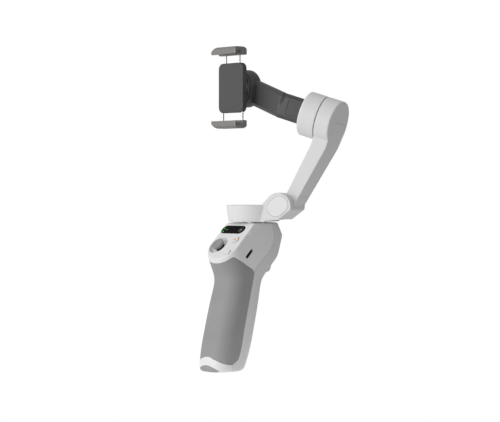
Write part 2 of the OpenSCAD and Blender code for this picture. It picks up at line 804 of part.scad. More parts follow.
// Upper arm: a side outline in the arm's plane, trimmed by the outline seen along the tilt axis
arm_root_in = arm_outer - arm_root_t;
arm_tip_in = arm_outer - arm_tip_t;
arm_low = ear_r * 0.5;
function along_arm(side, up) = hinge_at + side * arm_side + up * arm_dir;
function along_tilt(inner, up) = tilt_face - inner * tilt_out + up * tilt_up;
module arm_side_outline() {
    polygon([along_arm(arm_outer, 0), bend_at, along_tilt(0, 0), along_tilt(tilt_half, 0),
        along_tilt(tilt_half, -tilt_rise * 0.86), along_arm(arm_tip_in, arm_len * 0.93),
        along_arm(arm_root_in, arm_low), along_arm(arm_root_in, 0)]);
}
arm_back = ear_back;
arm_front = slot_front + knuckle_gap;
// Seen along the tilt axis: down the arm first, then across, with a fillet at the front edge
module arm_front_outline() {
    fillet = tilt_rise * 0.35;
    difference() {
        polygon([[-big, arm_front], [-tilt_r * 0.45, arm_front], [-tilt_r * 0.45, -tilt_r * 0.895],
            [0, -tilt_r], [0, tilt_r], [-tilt_r * 0.3, tilt_r * 1.01], [-tilt_rise, arm_back],
            [-big, arm_back]]);
        translate([-tilt_r * 0.45 - fillet, arm_front - fillet]) circle(fillet);
    }
}
module knuckle() {
    fold_axis() rotate([90, 0, 0]) ring(knuckle_r, 0, -slot_back + knuckle_gap, -slot_front - knuckle_gap);
}
module upper_arm_form() {
    intersection() {
        arm_plane() rotate([90, 0, 0]) translate([0, 0, -big / 2]) linear_extrude(big) arm_side_outline();
        tilt_axis() rotate([0, -90, 0]) translate([0, 0, -big / 2]) linear_extrude(big)
            arm_front_outline();
    }
}
module tilt_half_form(flip) {
    e = tilt_r * 0.05;
    rotate([0, -90, 0]) rotate_extrude() polygon(flip
        ? concat([[0, tilt_half + tilt_gap], [tilt_r, tilt_half + tilt_gap]],
            arc([tilt_r - 2 * e, tilt_inner_l - 2 * e], 2 * e, 0, 90, 5), [[0, tilt_inner_l]])
        : concat([[0, 0]], arc([tilt_r - e, e], e, -90, 0, 3), [[tilt_r, tilt_half], [0, tilt_half]]));
}
tilt_wall = 3;
tilt_bore_r = rotor_out_r + 0.4;
module upper_arm() color(light) difference() {
    union() {
        difference() {
            upper_arm_form();
            fold_axis() rotate([90, 0, 0]) ring(ear_r + move_c, 0, -big / 2, -slot_back + knuckle_gap);
        }
        knuckle();
        tilt_axis() tilt_half_form(false);
    }
    tilt_axis() rotate([0, -90, 0]) ring(tilt_bore_r, 0, tilt_wall + arm_cover_t, big / 4);
    arm_cover_form(over);
    fold_axis() rotate([90, 0, 0]) ring(hinge_pin_r + run_c, 0, -big / 2, big / 2);
}

// Outer cover, let into the upper arm's outer face
cover_rim = 2;
module arm_cover_form(out) {
    intersection() {
        arm_plane() rotate([90, 0, 0]) translate([0, 0, -big / 2]) linear_extrude(big) polygon([
            along_arm(arm_outer + out, ear_r * 1.3), bend_at + out * arm_side, along_tilt(-out, 0),
            along_tilt(arm_cover_t, 0), bend_at - arm_cover_t * arm_side,
            along_arm(arm_outer - arm_cover_t, ear_r * 1.3)]);
        tilt_axis() rotate([0, -90, 0]) translate([0, 0, -big / 2]) linear_extrude(big)
            polygon([[-big, arm_front + cover_rim], [-tilt_rise * 0.4, arm_front + cover_rim],
                [0, arm_front + cover_rim], [0, arm_back - 2 * cover_rim],
                [-tilt_rise, arm_back - cover_rim], [-big, arm_back - cover_rim]]);
    }
}
module arm_cover() color(shade) arm_cover_form(0);

// Tilt motor: stator and bearing in the upper arm, rotor and shaft in the inner housing
tilt_core_l = tilt_half + tilt_gap + 6;
module tilt_frame() { tilt_axis() rotate([0, -90, 0]) children(); }
module tilt_stator() color(dark) tilt_frame() {
    difference() {
        union() {
            ring(tilt_bore_r, 0, tilt_wall + arm_cover_t, tilt_wall + arm_cover_t + shell_wall);
            ring(motor_core_r, 0, tilt_wall + arm_cover_t, tilt_core_l);
        }
        ring(bearing_r, 0, tilt_wall + arm_cover_t + shell_wall, tilt_core_l + over);
    }
}
module tilt_bearing() color(steel) tilt_frame()
    ring(bearing_r, shaft_r + run_c, tilt_wall + arm_cover_t + shell_wall, tilt_core_l);
module tilt_shaft() color(steel) tilt_frame()
    ring(shaft_r, 0, tilt_wall + arm_cover_t + shell_wall + move_c, tilt_inner_l - tilt_wall);
module tilt_rotor() color(steel) tilt_frame()
    ring(tilt_bore_r, rotor_in_r, tilt_half + tilt_gap + move_c, tilt_inner_l - tilt_wall);
module tilt_housing() color(light) tilt_axis() difference() {
    tilt_half_form(true);
    rotate([0, -90, 0]) ring(tilt_bore_r, 0, 0, tilt_inner_l - tilt_wall);
}

// Roll arm: a bevelled bar along the tilt axis, an elbow, and a bar behind the phone
bar_bevel = bar_h * 0.14;
bar_edge = bar_t * 0.35;
module bar_section() {
    polygon([[-bar_t / 2 + bar_edge, -bar_h / 2], [bar_t / 2, -bar_h / 2], [bar_t / 2, bar_h / 2],
        [-bar_t / 2 + bar_edge, bar_h / 2], [-bar_t / 2, bar_h / 2 - bar_bevel],
        [-bar_t / 2, -bar_h / 2 + bar_bevel]]);
}
// A bar along +X, its section's first axis along Y and its second along Z
module bar(l) { rotate([90, 0, 90]) linear_extrude(l) bar_section(); }
module first_bar(low, l) { tilt_axis() translate([-elbow_l + low, 0, 0]) bar(l); }
module second_bar(low, l) {
    translate([elbow_x, bar_y, elbow_z]) rotate([0, bar_slope, 0]) translate([-low - l, 0, 0]) bar(l);
}
// The round elbow, turned from the bar's own section
module elbow() {
    translate([elbow_x, bar_y, elbow_z]) rotate([0, bar_slope, 0]) rotate_extrude() polygon([
        [0, -bar_h / 2], [bar_t / 2 - bar_edge, -bar_h / 2], [bar_t / 2, -bar_h / 2 + bar_bevel],
        [bar_t / 2, bar_h / 2 - bar_bevel], [bar_t / 2 - bar_edge, bar_h / 2], [0, bar_h / 2]]);
}
first_l = elbow_l - tilt_inner_l;
panel_in = 0.8;
module roll_arm() color(dark) difference() {
    union() {
        first_bar(0, first_l);
        second_bar(0, bar_run);
        elbow();
        roll_axis() ring(roll_r, 0, bar_front - phone_y, bar_front - phone_y + bar_t);
    }
    first_panel(panel_in);
}
// The recess in the front of the first bar, and the strip that fills it
strip_h = bar_h * 0.56;
strip_start = first_l * 0.3;
strip_l = first_l * 0.62;
module first_panel(t) {
    tilt_axis() translate([-elbow_l + strip_start, -bar_t / 2 - over + t, -strip_h / 2])
        cube([strip_l, over, strip_h]);
}
module roll_arm_cover() color(black) tilt_axis()
    translate([-elbow_l + strip_start, -bar_t / 2 + panel_in / 2, -strip_h / 2])
        cube([strip_l, panel_in / 2, strip_h]);

// Roll motor and the magnet plate
roll_wall = 1.5;
roll_back = bar_front - phone_y;
roll_front = rotor_back - phone_y;
module roll_stator() color(dark) roll_axis() difference() {
    ring(roll_r, 0, roll_front + roll_gap, roll_back);
    ring(bearing_r, 0, roll_front, roll_back - roll_wall);
}
module roll_bearing() color(steel) roll_axis()
    ring(bearing_r, shaft_r + run_c, roll_front + roll_gap, roll_back - roll_wall);
module roll_shaft() color(steel) roll_axis()
    ring(shaft_r, 0, roll_front, roll_back - roll_wall - move_c);
module roll_rotor() color(dark) roll_axis() ring(roll_r * 0.985, 0, plate_back - phone_y, roll_front);
key_side = 9;
key_h = 1.2;
module magnet_plate() color(steel) roll_axis() {
    ring(roll_r * 0.9, 0, clamp_back - phone_y, plate_back - phone_y);
    translate([0, 0, clamp_back - phone_y - key_h]) linear_extrude(key_h + slab)
        square([key_side, key_side], center = true);
}

// Clamp base with ring magnets and bores for the guide rods
magnet_r = 3;
magnet_t = 1.6;
magnet_ring_r = roll_r * 0.62;
rod_gap = jaw_w * 0.28;
lower_rod_gap = jaw_w * 0.4;
rod_depth = clamp_back - phone_y - clamp_t / 2;
base_w = jaw_w;
base_r = 6;
module magnet_places() {
    for (a = [45 : 90 : 315]) rotate([0, 0, a]) translate([magnet_ring_r, 0, 0]) children();
}
module rod_pair(gap, r, low, high) {
    for (s = [-1, 1]) translate([phone_x + s * gap, phone_y + rod_depth, 0]) ring(r, 0, low, high);
}
module clamp_base() color(dark) difference() {
    roll_axis() difference() {
        translate([0, 0, clamp_front - phone_y]) linear_extrude(clamp_t) round_rect(base_w, clamp_h, base_r);
        translate([0, 0, clamp_back - phone_y - key_h - move_c / 3]) linear_extrude(over + key_h + move_c)
            square(key_side + move_c, center = true);
        magnet_places() ring(magnet_r, 0, clamp_back - phone_y - magnet_t, big);
    }
    rod_pair(rod_gap, rod_r + run_c, phone_z - big / 2, phone_z + big / 2);
    rod_pair(lower_rod_gap, rod_r + run_c, phone_z - big / 2, phone_z + big / 2);
}
module clamp_magnets() color(steel) roll_axis() magnet_places()
    ring(magnet_r, 0, clamp_back - phone_y - magnet_t, clamp_back - phone_y);

// Jaws: a hook over the phone's edge, with a rubber pad, on two guide rods
pad_thick = 1;
jaw_front = phone_y - phone_t / 2 - 2.5;
jaw_r = jaw_t * 0.8;
jaw_gap = 3;
jaw_drop = phone_w / 2 - clamp_h / 2 - jaw_gap * 2.6;
// The jaw's side outline, as the upper jaw has it, about the phone's centre
module jaw_outline() {
    front = jaw_front - phone_y;
    back = clamp_back - phone_y;
    low = phone_w / 2;
    difference() {
        union() {
            translate([front, low - jaw_lip]) square([back - front, jaw_lip + jaw_t * 0.6]);
            translate([front + jaw_r, low]) square([back - front - 2 * jaw_r, jaw_t]);
            for (y = [front + jaw_r, back - jaw_r]) translate([y, low + jaw_t - jaw_r]) circle(jaw_r);
            translate([clamp_front - phone_y, low - jaw_drop]) square([clamp_t, jaw_drop + jaw_t * 0.6]);
        }
        translate([-phone_t / 2 - pad_thick * 0.3, low - jaw_drop - over])
            square([phone_t + pad_thick * 0.3 + move_c / 3, jaw_drop + over + pad_thick]);
    }
}
module jaw_form() {
    intersection() {
        translate([phone_x, phone_y, phone_z]) side_extrude(jaw_w) jaw_outline();
        translate([phone_x, 0, phone_z + phone_w / 2]) rotate([90, 0, 0]) translate([0, 0, -big / 2])
            linear_extrude(big) jaw_front_outline();
    }
}
// Seen from the front: rounded at one end, squarer at the other
module jaw_front_outline() {
    half = jaw_w / 2;
    polygon(concat([[-half, -big / 8], [half, -big / 8]],
        arc([half - jaw_r * 0.5, jaw_t - jaw_r * 0.5], jaw_r * 0.5, 0, 90, 4),
        arc([-half + jaw_r * 1.6, jaw_t - jaw_r], jaw_r, 90, 150, 4),
        [[-half, jaw_t * 0.1]]));
}
module jaw_pad_form() {
    translate([phone_x, phone_y, phone_z + phone_w / 2]) translate([-jaw_w / 2 + jaw_r, -phone_t / 2, 0])
        cube([jaw_w - 2 * jaw_r, phone_t, pad_thick]);
}
rod_top = phone_z + phone_w / 2 - jaw_drop;
rod_l = clamp_h * 0.86;
module upper_jaw() color(jaw_metal) difference() {
    jaw_form();
    rod_pair(rod_gap, rod_r, rod_top - over, rod_top + jaw_drop / 2);
}
module upper_pad() color(rubber) jaw_pad_form();
module upper_rods() color(steel) rod_pair(rod_gap, rod_r, rod_top - rod_l, rod_top + jaw_drop / 2);
module flip_down() { translate([0, 0, 2 * phone_z]) mirror([0, 0, 1]) children(); }
module lower_jaw() color(jaw_metal) flip_down() difference() {
    jaw_form();
    rod_pair(lower_rod_gap, rod_r, rod_top - over, rod_top + jaw_drop / 2);
}
module lower_pad() color(rubber) flip_down() jaw_pad_form();
module lower_rods() color(steel) flip_down()
    rod_pair(lower_rod_gap, rod_r, rod_top - rod_l, rod_top + jaw_drop / 2);

front_shell();
back_shell();
grip_sleeve();
bottom_cap();
foot_pad();
tripod_insert();
front_panel();
display_window();
status_leds();
usb_port();
battery();
main_board();
key_switches();
joystick_socket();
handle_screws();
trigger_pin();
pan_stator();
pan_bearing();
joystick_yoke();
joystick_stem();
joystick_cap();
mode_button();
record_button();
switch_button();
power_button();
trigger();
pan_arm();
pan_rotor();
pan_shaft();
hinge_pin();
hinge_cap();
upper_arm();
arm_cover();
tilt_stator();
tilt_bearing();
tilt_housing();
tilt_rotor();
tilt_shaft();
roll_arm();
roll_arm_cover();
roll_stator();
roll_bearing();
roll_rotor();
roll_shaft();
magnet_plate();
clamp_base();
clamp_magnets();
upper_jaw();
upper_pad();
upper_rods();
lower_jaw();
lower_pad();
lower_rods();
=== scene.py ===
"""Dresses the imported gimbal: a smooth handle skin cut along its seams, softened arms and materials."""
import json
import math

import bmesh
import bpy
import numpy as np
from mathutils import Matrix, Vector


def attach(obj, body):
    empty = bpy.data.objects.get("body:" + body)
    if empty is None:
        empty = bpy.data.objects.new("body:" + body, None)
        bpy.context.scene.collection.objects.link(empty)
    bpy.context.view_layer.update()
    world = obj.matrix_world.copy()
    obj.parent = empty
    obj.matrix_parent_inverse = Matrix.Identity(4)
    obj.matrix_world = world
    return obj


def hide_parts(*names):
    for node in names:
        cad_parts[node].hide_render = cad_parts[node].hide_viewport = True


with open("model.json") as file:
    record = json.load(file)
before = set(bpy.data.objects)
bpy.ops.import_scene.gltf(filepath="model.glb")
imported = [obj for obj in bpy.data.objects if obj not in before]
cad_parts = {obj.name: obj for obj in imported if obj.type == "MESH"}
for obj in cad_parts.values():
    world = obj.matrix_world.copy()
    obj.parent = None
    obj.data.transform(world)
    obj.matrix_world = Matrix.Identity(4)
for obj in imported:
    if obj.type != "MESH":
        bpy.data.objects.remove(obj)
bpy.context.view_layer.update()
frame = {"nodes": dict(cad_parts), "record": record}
nodes = frame["nodes"]
MM = 0.001

# Sizes, in millimetres
GRIP_W, GRIP_D, GRIP_H, CORNER = 39.4, 46.0, 89.0, 14.0
CAD_LEAN, LEAN = math.radians(13.4), math.radians(14.2)
HEAD_H, HEAD_R, HEAD_W, NECK_R, HEAD_BACK = 55.9, 27.3, 41.0, 22.3, 22.8
PANEL_T, PANEL_R = 4.5, 20.4
DISH_D, RECORD_D = 21.2, 8.0
SWITCH_W, SWITCH_H, SWITCH_CORNER, SWITCH_GAP = 8.0, 6.0, 1.9, 0.2
DISPLAY_L, DISPLAY_W = 33.0, 11.0
PAD_TOP, PAD_HALF = 6.5, 15.5
STATOR_R = 17.1
WAIST_Y = GRIP_H * math.tan(CAD_LEAN)
FOOT_Y = WAIST_Y - GRIP_H * math.tan(LEAN)
PAN_Y = WAIST_Y + HEAD_BACK
TOP_Z = GRIP_H + HEAD_H
PANEL_Y, PANEL_Z = PAN_Y - HEAD_R * 0.97, TOP_Z - HEAD_H * 0.12
SPINE_D = GRIP_D * 0.048
INSERT_R = 5.0
CHIN = HEAD_H * 0.362
S45 = math.sqrt(0.5)
PANEL_OUT = Vector((0, -S45, S45))
PANEL_UP = Vector((0, S45, S45))
DISPLAY_AT = (-PANEL_R * 0.16, 0.0)
MODE_R = DISPLAY_W * 0.32
MODE_AT = (DISPLAY_AT[0] + DISPLAY_L / 2 - DISPLAY_W / 2, 0.0)
STICK_AT = (-PANEL_R * 0.44, -HEAD_H * 0.375)
RECORD_AT = (PANEL_R * 0.515, -HEAD_H * 0.25)
SWITCH_AT = (PANEL_R * 0.54, -HEAD_H * 0.55)


def lean_y(z):
    """The grip's middle at height z: it leans a little more than the CAD's and meets it at the waist."""
    return FOOT_Y + z * math.tan(LEAN)


def panel_point(x, up, out):
    """A point given in the control panel's own frame."""
    return Vector((x, PANEL_Y, PANEL_Z)) + PANEL_UP * up + PANEL_OUT * out


# Materials
GRAIN_HEIGHT = 0.0001
DRIFT_SCALE = 38.0


def node_material(name, colour, rough, metallic=0.0, coat=0.0, specular=0.5):
    """A new material, its node tree and its shader."""
    m = bpy.data.materials.new(name)
    m.use_nodes = True
    shader = m.node_tree.nodes["Principled BSDF"]
    shader.inputs["Base Color"].default_value = (*colour, 1)
    shader.inputs["Roughness"].default_value = rough
    shader.inputs["Metallic"].default_value = metallic
    shader.inputs["Coat Weight"].default_value = coat
    shader.inputs["Specular IOR Level"].default_value = specular
    return m, m.node_tree, shader


def add(tree, kind, **values):
    """A new node, with values set on its inputs or else on the node itself."""
    n = tree.nodes.new(kind)
    for key, value in values.items():
        if key in n.inputs:
            n.inputs[key].default_value = value
        else:
            setattr(n, key, value)
    return n


def ranged(tree, value, low, high, start=0.0, end=1.0):
    """The value, carried from start..end over to low..high."""
    n = add(tree, "ShaderNodeMapRange")
    n.inputs["From Min"].default_value = start
    n.inputs["From Max"].default_value = end
    n.inputs["To Min"].default_value = low
    n.inputs["To Max"].default_value = high
    tree.links.new(value, n.inputs["Value"])
    return n.outputs["Result"]


def product(tree, a, b):
    """The product of two values."""
    n = add(tree, "ShaderNodeMath", operation="MULTIPLY")
    tree.links.new(a, n.inputs[0])
    tree.links.new(b, n.inputs[1])
    return n.outputs["Value"]


def bumped(tree, shader, height, strength):
    """Grain in the shader's normal."""
    bump = add(tree, "ShaderNodeBump", Strength=strength, Distance=GRAIN_HEIGHT)
    tree.links.new(height, bump.inputs["Height"])
    tree.links.new(bump.outputs["Normal"], shader.inputs["Normal"])


def grained(name, colour, rough, grain, depth, metallic=0.0, spread=0.03, rough_spread=0.06, specular=0.5,
            edge_highlight=0.0, pebbled=False):
    """A moulded or blasted surface: fine grain in the bump, a slow drift of tone and gloss, and convex edges
    painted lighter as a painted highlight.
    """
    m, tree, shader = node_material(name, colour, rough, metallic, specular=specular)
    link = tree.links.new
    where = add(tree, "ShaderNodeTexCoord")
    if pebbled:
        fine = add(tree, "ShaderNodeTexVoronoi", Scale=grain)
        fine.feature = "SMOOTH_F1"
        height = fine.outputs["Distance"]
    else:
        fine = add(tree, "ShaderNodeTexNoise", Scale=grain, Detail=3.0, Roughness=0.6)
        height = fine.outputs["Fac"]
    slow = add(tree, "ShaderNodeTexNoise", Scale=DRIFT_SCALE, Detail=2.0, Roughness=0.5)
    link(where.outputs["Object"], fine.inputs["Vector"])
    link(where.outputs["Object"], slow.inputs["Vector"])
    bumped(tree, shader, height, depth)
    drift = ranged(tree, slow.outputs["Fac"], 1 - spread, 1 + spread)
    speck = ranged(tree, height, 1 - spread * 0.8, 1 + spread * 0.8)
    tone = product(tree, drift, speck)
    # Painted highlight: convex edges made lighter by the mesh's pointiness
    if edge_highlight:
        edge = add(tree, "ShaderNodeNewGeometry").outputs["Pointiness"]
        tone = product(tree, tone, ranged(tree, edge, 1.0, 1.0 + edge_highlight, 0.5, 0.62))
    paint = add(tree, "ShaderNodeMix", data_type="RGBA", blend_type="MULTIPLY")
    paint.inputs["Factor"].default_value = 1
    paint.inputs["A"].default_value = (*colour, 1)
    grey = add(tree, "ShaderNodeCombineColor")
    for channel in ("Red", "Green", "Blue"):
        link(tone, grey.inputs[channel])
    link(grey.outputs["Color"], paint.inputs["B"])
    link(paint.outputs["Result"], shader.inputs["Base Color"])
    gloss = ranged(tree, slow.outputs["Fac"], rough - rough_spread, rough + rough_spread)
    link(gloss, shader.inputs["Roughness"])
    return m


def turned_metal(name, colour, rough):
    """Bare metal with the stretched shine of turning."""
    m = grained(name, colour, rough, 900.0, 0.05, metallic=1.0, spread=0.05)
    shader = m.node_tree.nodes["Principled BSDF"]
    shader.inputs["Anisotropic"].default_value = 0.5
    return m


LIGHT = grained("light_plastic", (0.69, 0.69, 0.69), 0.50, 3800.0, 0.16, edge_highlight=0.04)
CAP_LIGHT = grained("cap_plastic", (0.74, 0.74, 0.74), 0.45, 3800.0, 0.12, edge_highlight=0.03)
# Painted shade: a dark grey for the sheet that stands in for the shadow in the hinge cap's gap
GAP_SHADE = grained("gap_painted_shade", (0.30, 0.30, 0.30), 0.6, 3000.0, 0.1)
# Painted shade: a darker copy of the light plastic, for the back spine and the trigger lever
PAINTED_SHADE = grained("spine_plastic", (0.60, 0.60, 0.605), 0.50, 3800.0, 0.16, edge_highlight=0.04)
RUBBER = grained("grip_rubber", (0.275, 0.275, 0.277), 0.62, 1500.0, 0.45, spread=0.10,
                 specular=0.35, pebbled=True)
PAD_RUBBER = grained("pad_rubber", (0.30, 0.30, 0.30), 0.66, 1700.0, 0.35, spread=0.08, specular=0.3)
# The dark plastic gets the strongest painted edge highlight
DARK = grained("dark_plastic", (0.052, 0.052, 0.054), 0.42, 3200.0, 0.18, spread=0.05, edge_highlight=0.25)
DARK_PANEL = grained("dark_panel", (0.034, 0.034, 0.036), 0.30, 3200.0, 0.08, spread=0.04)
JAW = grained("jaw_metal", (0.235, 0.228, 0.222), 0.36, 2600.0, 0.05, metallic=0.6, spread=0.03, edge_highlight=0.05)
STEEL = turned_metal("steel", (0.62, 0.63, 0.65), 0.28)
BRASS = turned_metal("brass", (0.72, 0.53, 0.24), 0.30)
KEY_DARK = grained("key_dark", (0.018, 0.018, 0.019), 0.35, 3200.0, 0.08, spread=0.04, specular=0.3)
STICK = grained("stick_rubber", (0.27, 0.27, 0.272), 0.60, 1800.0, 0.30, spread=0.06, specular=0.3)
GLOSS = grained("display_black", (0.002, 0.002, 0.0023), 0.3, 60.0, 0.01, spread=0.02, rough_spread=0.02,
                specular=0.03)
SOCKET = grained("socket_black", (0.02, 0.02, 0.021), 0.5, 2500.0, 0.1)
BOARD = grained("board", (0.02, 0.10, 0.05), 0.35, 700.0, 0.1, spread=0.1)
CELL = grained("cell_wrap", (0.05, 0.05, 0.06), 0.3, 300.0, 0.05)


def glowing(name, colour, strength):
    """A small mark that gives its own light: a lit lens for the green LEDs, and a painted glow on printed
    marks.
    """
    m, tree, shader = node_material(name, colour, 0.3, coat=0.3)
    noise = add(tree, "ShaderNodeTexNoise", Scale=1500.0, Detail=1.0)
    where = add(tree, "ShaderNodeTexCoord")
    tree.links.new(where.outputs["Object"], noise.inputs["Vector"])
    bumped(tree, shader, noise.outputs["Fac"], 0.05)
    shader.inputs["Emission Color"].default_value = (*colour, 1)
    shader.inputs["Emission Strength"].default_value = strength
    return m


GREEN = glowing("led_green", (0.0, 0.26, 0.0), 0.6)
# Painted glow: the record key's printed orange dot and the grey printed marks give their own light, though
# they are no lamps
ORANGE = glowing("record_orange_painted_glow", (0.78, 0.30, 0.03), 0.15)
ICON = glowing("icon_grey_painted_glow", (0.22, 0.22, 0.22), 0.08)
RING = grained("mark_grey", (0.80, 0.80, 0.80), 0.4, 3000.0, 0.1)


# Mesh helpers
SHARP = 32
BEVEL_STEPS, BEVEL_FROM = 3, math.radians(28)


def finish_mesh(obj, mats, body, smooth_angle=SHARP, replaces=()):
    """Materials, smooth shading up to an angle, the body to ride on and the nodes to stand for."""
    for m in mats:
        obj.data.materials.append(m)
    obj.data.shade_smooth()
    obj.data.set_sharp_from_angle(angle=math.radians(smooth_angle))
    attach(obj, body)
    if replaces:
        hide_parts(*replaces)
    return obj


def new_object(name, verts, faces):
    """A mesh object in the scene, from points in millimetres."""
    mesh = bpy.data.meshes.new(name)
    mesh.from_pydata([tuple(c * MM for c in v) for v in verts], [], [list(f) for f in faces])
    mesh.validate()
    obj = bpy.data.objects.new(name, mesh)
    bpy.context.scene.collection.objects.link(obj)
    return obj


def softened(node, name, mat, body, width):
    """A copy of a CAD node's mesh with its doubled points welded and, given a width, its edges rounded."""
    mesh = nodes[node].data.copy()
    mesh.materials.clear()
    bm = bmesh.new()
    bm.from_mesh(mesh)
    bmesh.ops.remove_doubles(bm, verts=bm.verts, dist=1e-6)
    bm.normal_update()
    bm.to_mesh(mesh)
    bm.free()
    obj = bpy.data.objects.new(name, mesh)
    bpy.context.scene.collection.objects.link(obj)
    if width:
        b = obj.modifiers.new("edges", "BEVEL")
        b.width = width * MM
        b.segments = BEVEL_STEPS
        b.limit_method = "ANGLE"
        b.angle_limit = BEVEL_FROM
        b.use_clamp_overlap = False
        b.loop_slide = False
        w = obj.modifiers.new("normals", "WEIGHTED_NORMAL")
        w.keep_sharp = True
        w.weight = 90
    return finish_mesh(obj, [mat], body, smooth_angle=60 if width else SHARP, replaces=(node,))


def moulded(node, name, mat, body, voxel, rounds):
    """A copy of a CAD node's mesh, remeshed fine and smoothed, so that its edges come out rounded."""
    obj = softened(node, name, mat, body, width=0)
    even = obj.modifiers.new("even", "REMESH")
    even.mode = "VOXEL"
    even.voxel_size = voxel * MM
    even.use_smooth_shade = True
    ease = obj.modifiers.new("ease", "SMOOTH")
    ease.factor = 0.5
    ease.iterations = rounds
    return obj


def painted(node, mat):
    """A CAD node that stays, with a better material."""
    obj = nodes[node]
    obj.data.materials.clear()
    obj.data.materials.append(mat)
    obj.data.shade_smooth()
    obj.data.set_sharp_from_angle(angle=math.radians(SHARP))


def revolved(name, profile, place, mat, body, steps=96, replaces=(), smooth_angle=SHARP):
    """A turned piece: profile is (radius, height) pairs, place the matrix of its frame."""
    verts, faces = [], []
    n = len(profile)
    for i in range(steps):
        a = 2 * math.pi * i / steps
        for r, h in profile:
            verts.append(place @ Vector((r * math.cos(a), r * math.sin(a), h)))
    for i in range(steps):
        j = (i + 1) % steps
        for k in range(n - 1):
            faces.append((i * n + k, j * n + k, j * n + k + 1, i * n + k + 1))
    obj = new_object(name, verts, faces)
    bm = bmesh.new()
    bm.from_mesh(obj.data)
    bmesh.ops.remove_doubles(bm, verts=bm.verts, dist=1e-7)
    bmesh.ops.recalc_face_normals(bm, faces=bm.faces)
    bm.to_mesh(obj.data)
    bm.free()
    return finish_mesh(obj, [mat], body, smooth_angle, replaces)


PANEL_PLACE = Matrix.Translation((0, PANEL_Y, PANEL_Z)) @ Matrix.Rotation(math.radians(45), 4, "X")


def on_panel(x, up, out=0.0):
    """The frame of a place on the control panel."""
    return PANEL_PLACE @ Matrix.Translation((x, up, out))


def pill_field(x, y, length, width):
    """Distance to a slot outline along x, negative inside."""
    dx = np.maximum(np.abs(x) - (length - width) / 2, 0)
    return np.hypot(dx, y) - width / 2


def rounded_field(x, y, w, d, r):
    """Distance to a rounded rectangle, negative inside."""
    qx, qy = np.abs(x) - w / 2 + r, np.abs(y) - d / 2 + r
    return np.hypot(np.maximum(qx, 0), np.maximum(qy, 0)) + np.minimum(np.maximum(qx, qy), 0) - r


def smooth_min(a, b, k):
    """The lesser of two fields, blended over k where they meet."""
    h = np.clip(0.5 + 0.5 * (b - a) / k, 0, 1)
    return b * (1 - h) + a * h - k * h * (1 - h)


# The handle's skin
AROUND = 288
GRIP_Z = np.array([0, 0.035, 0.33, 0.65, 1]) * GRIP_H
GRIP_WIDTHS = np.array([0.87, 0.955, 1, 0.997, 0.985]) * GRIP_W
GRIP_DEPTHS = np.array([0.80, 0.895, 0.985, 0.975, 0.905]) * GRIP_D
ANGLES = np.linspace(0, 2 * np.pi, AROUND, endpoint=False) + np.pi / 2
PANEL_LIFT, PANEL_SINK = 0.3, 3.6
BLUR_Z = (0, 4, 20, 84, 100, 112, 126, 134, 145)
BLUR = (0.5, 1.5, 4, 4.5, 3.5, 2.2, 1.3, 1.1, 0.6)
FOOT_ROUND, TOP_ROUND = 1.6, 1.4
FOOT_BAND, GRIP_BAND = 3, 98
FOOT_STEP, GRIP_STEP, HEAD_STEP = 0.3, 1.1, 0.42
PANEL_BLEND = 1.5
NOWHERE = 1e9


def grip_support(z):
    """Support function of the grip's rounded rectangle at height z."""
    c, s = np.cos(ANGLES), np.sin(ANGLES)
    w = spline(GRIP_Z, GRIP_WIDTHS, np.array([z]))[0]
    d = spline(GRIP_Z, GRIP_DEPTHS, np.array([z]))[0]
    h = (w / 2 - CORNER) * np.abs(c) + (d / 2 - CORNER) * np.abs(s) + CORNER
    return h + lean_y(z) * s


def section_supports():
    """Support functions of the handle's ruling sections, and the points of the panel's discs."""
    c, s = np.cos(ANGLES), np.sin(ANGLES)

    def clipped_disc(r, z):
        limit = min(1.0, HEAD_W / 2 / r)
        corner = math.acos(limit)
        bend = np.arccos(np.clip(np.abs(c), 0, 1))
        held = np.where(bend < corner, np.abs(c) * r * limit + np.abs(s) * r * math.sin(corner), r)
        return z, held + PAN_Y * s

    head = [(GRIP_H, grip_support(GRIP_H)), clipped_disc(HEAD_R * 0.83, GRIP_H + HEAD_H * 0.40),
            clipped_disc(HEAD_R, GRIP_H + HEAD_H * 0.775), clipped_disc(NECK_R, TOP_Z)]
    points = []
    rim_steps, corner_steps = 72, 16
    for k in range(rim_steps):
        a = 2 * math.pi * k / rim_steps
        for out in (PANEL_LIFT, -PANEL_SINK):
            points.append(panel_point(PANEL_R * math.cos(a), -CHIN + PANEL_R * math.sin(a), out))
    corner = PANEL_R * 0.2
    for side in (-1, 1):
        for k in range(corner_steps):
            a = 2 * math.pi * k / corner_steps
            for out in (PANEL_LIFT, -PANEL_SINK):
                points.append(panel_point(side * (PANEL_R - corner) + corner * math.cos(a),
                                          HEAD_H * 0.16 - corner + corner * math.sin(a), out))
    head += [(p[2], p[0] * c + p[1] * s) for p in points]
    return head


def radii_from_support(h, centre_y):
    """Distance from the centre to the outline that the support function bounds, for each angle."""
    rel = h - centre_y * np.sin(ANGLES)
    cosd = np.cos(ANGLES[:, None] - ANGLES[None, :])
    with np.errstate(divide="ignore"):
        d = np.where(cosd > 0.05, rel[None, :] / np.maximum(cosd, 0.05), NOWHERE)
    return d.min(axis=1)


def centre_line(z):
    """The handle's middle at each height: it leans with the grip, and then goes back to the pan motor."""
    return np.where(z < GRIP_H, lean_y(z), WAIST_Y + (PAN_Y - WAIST_Y) * (z - GRIP_H) / HEAD_H)


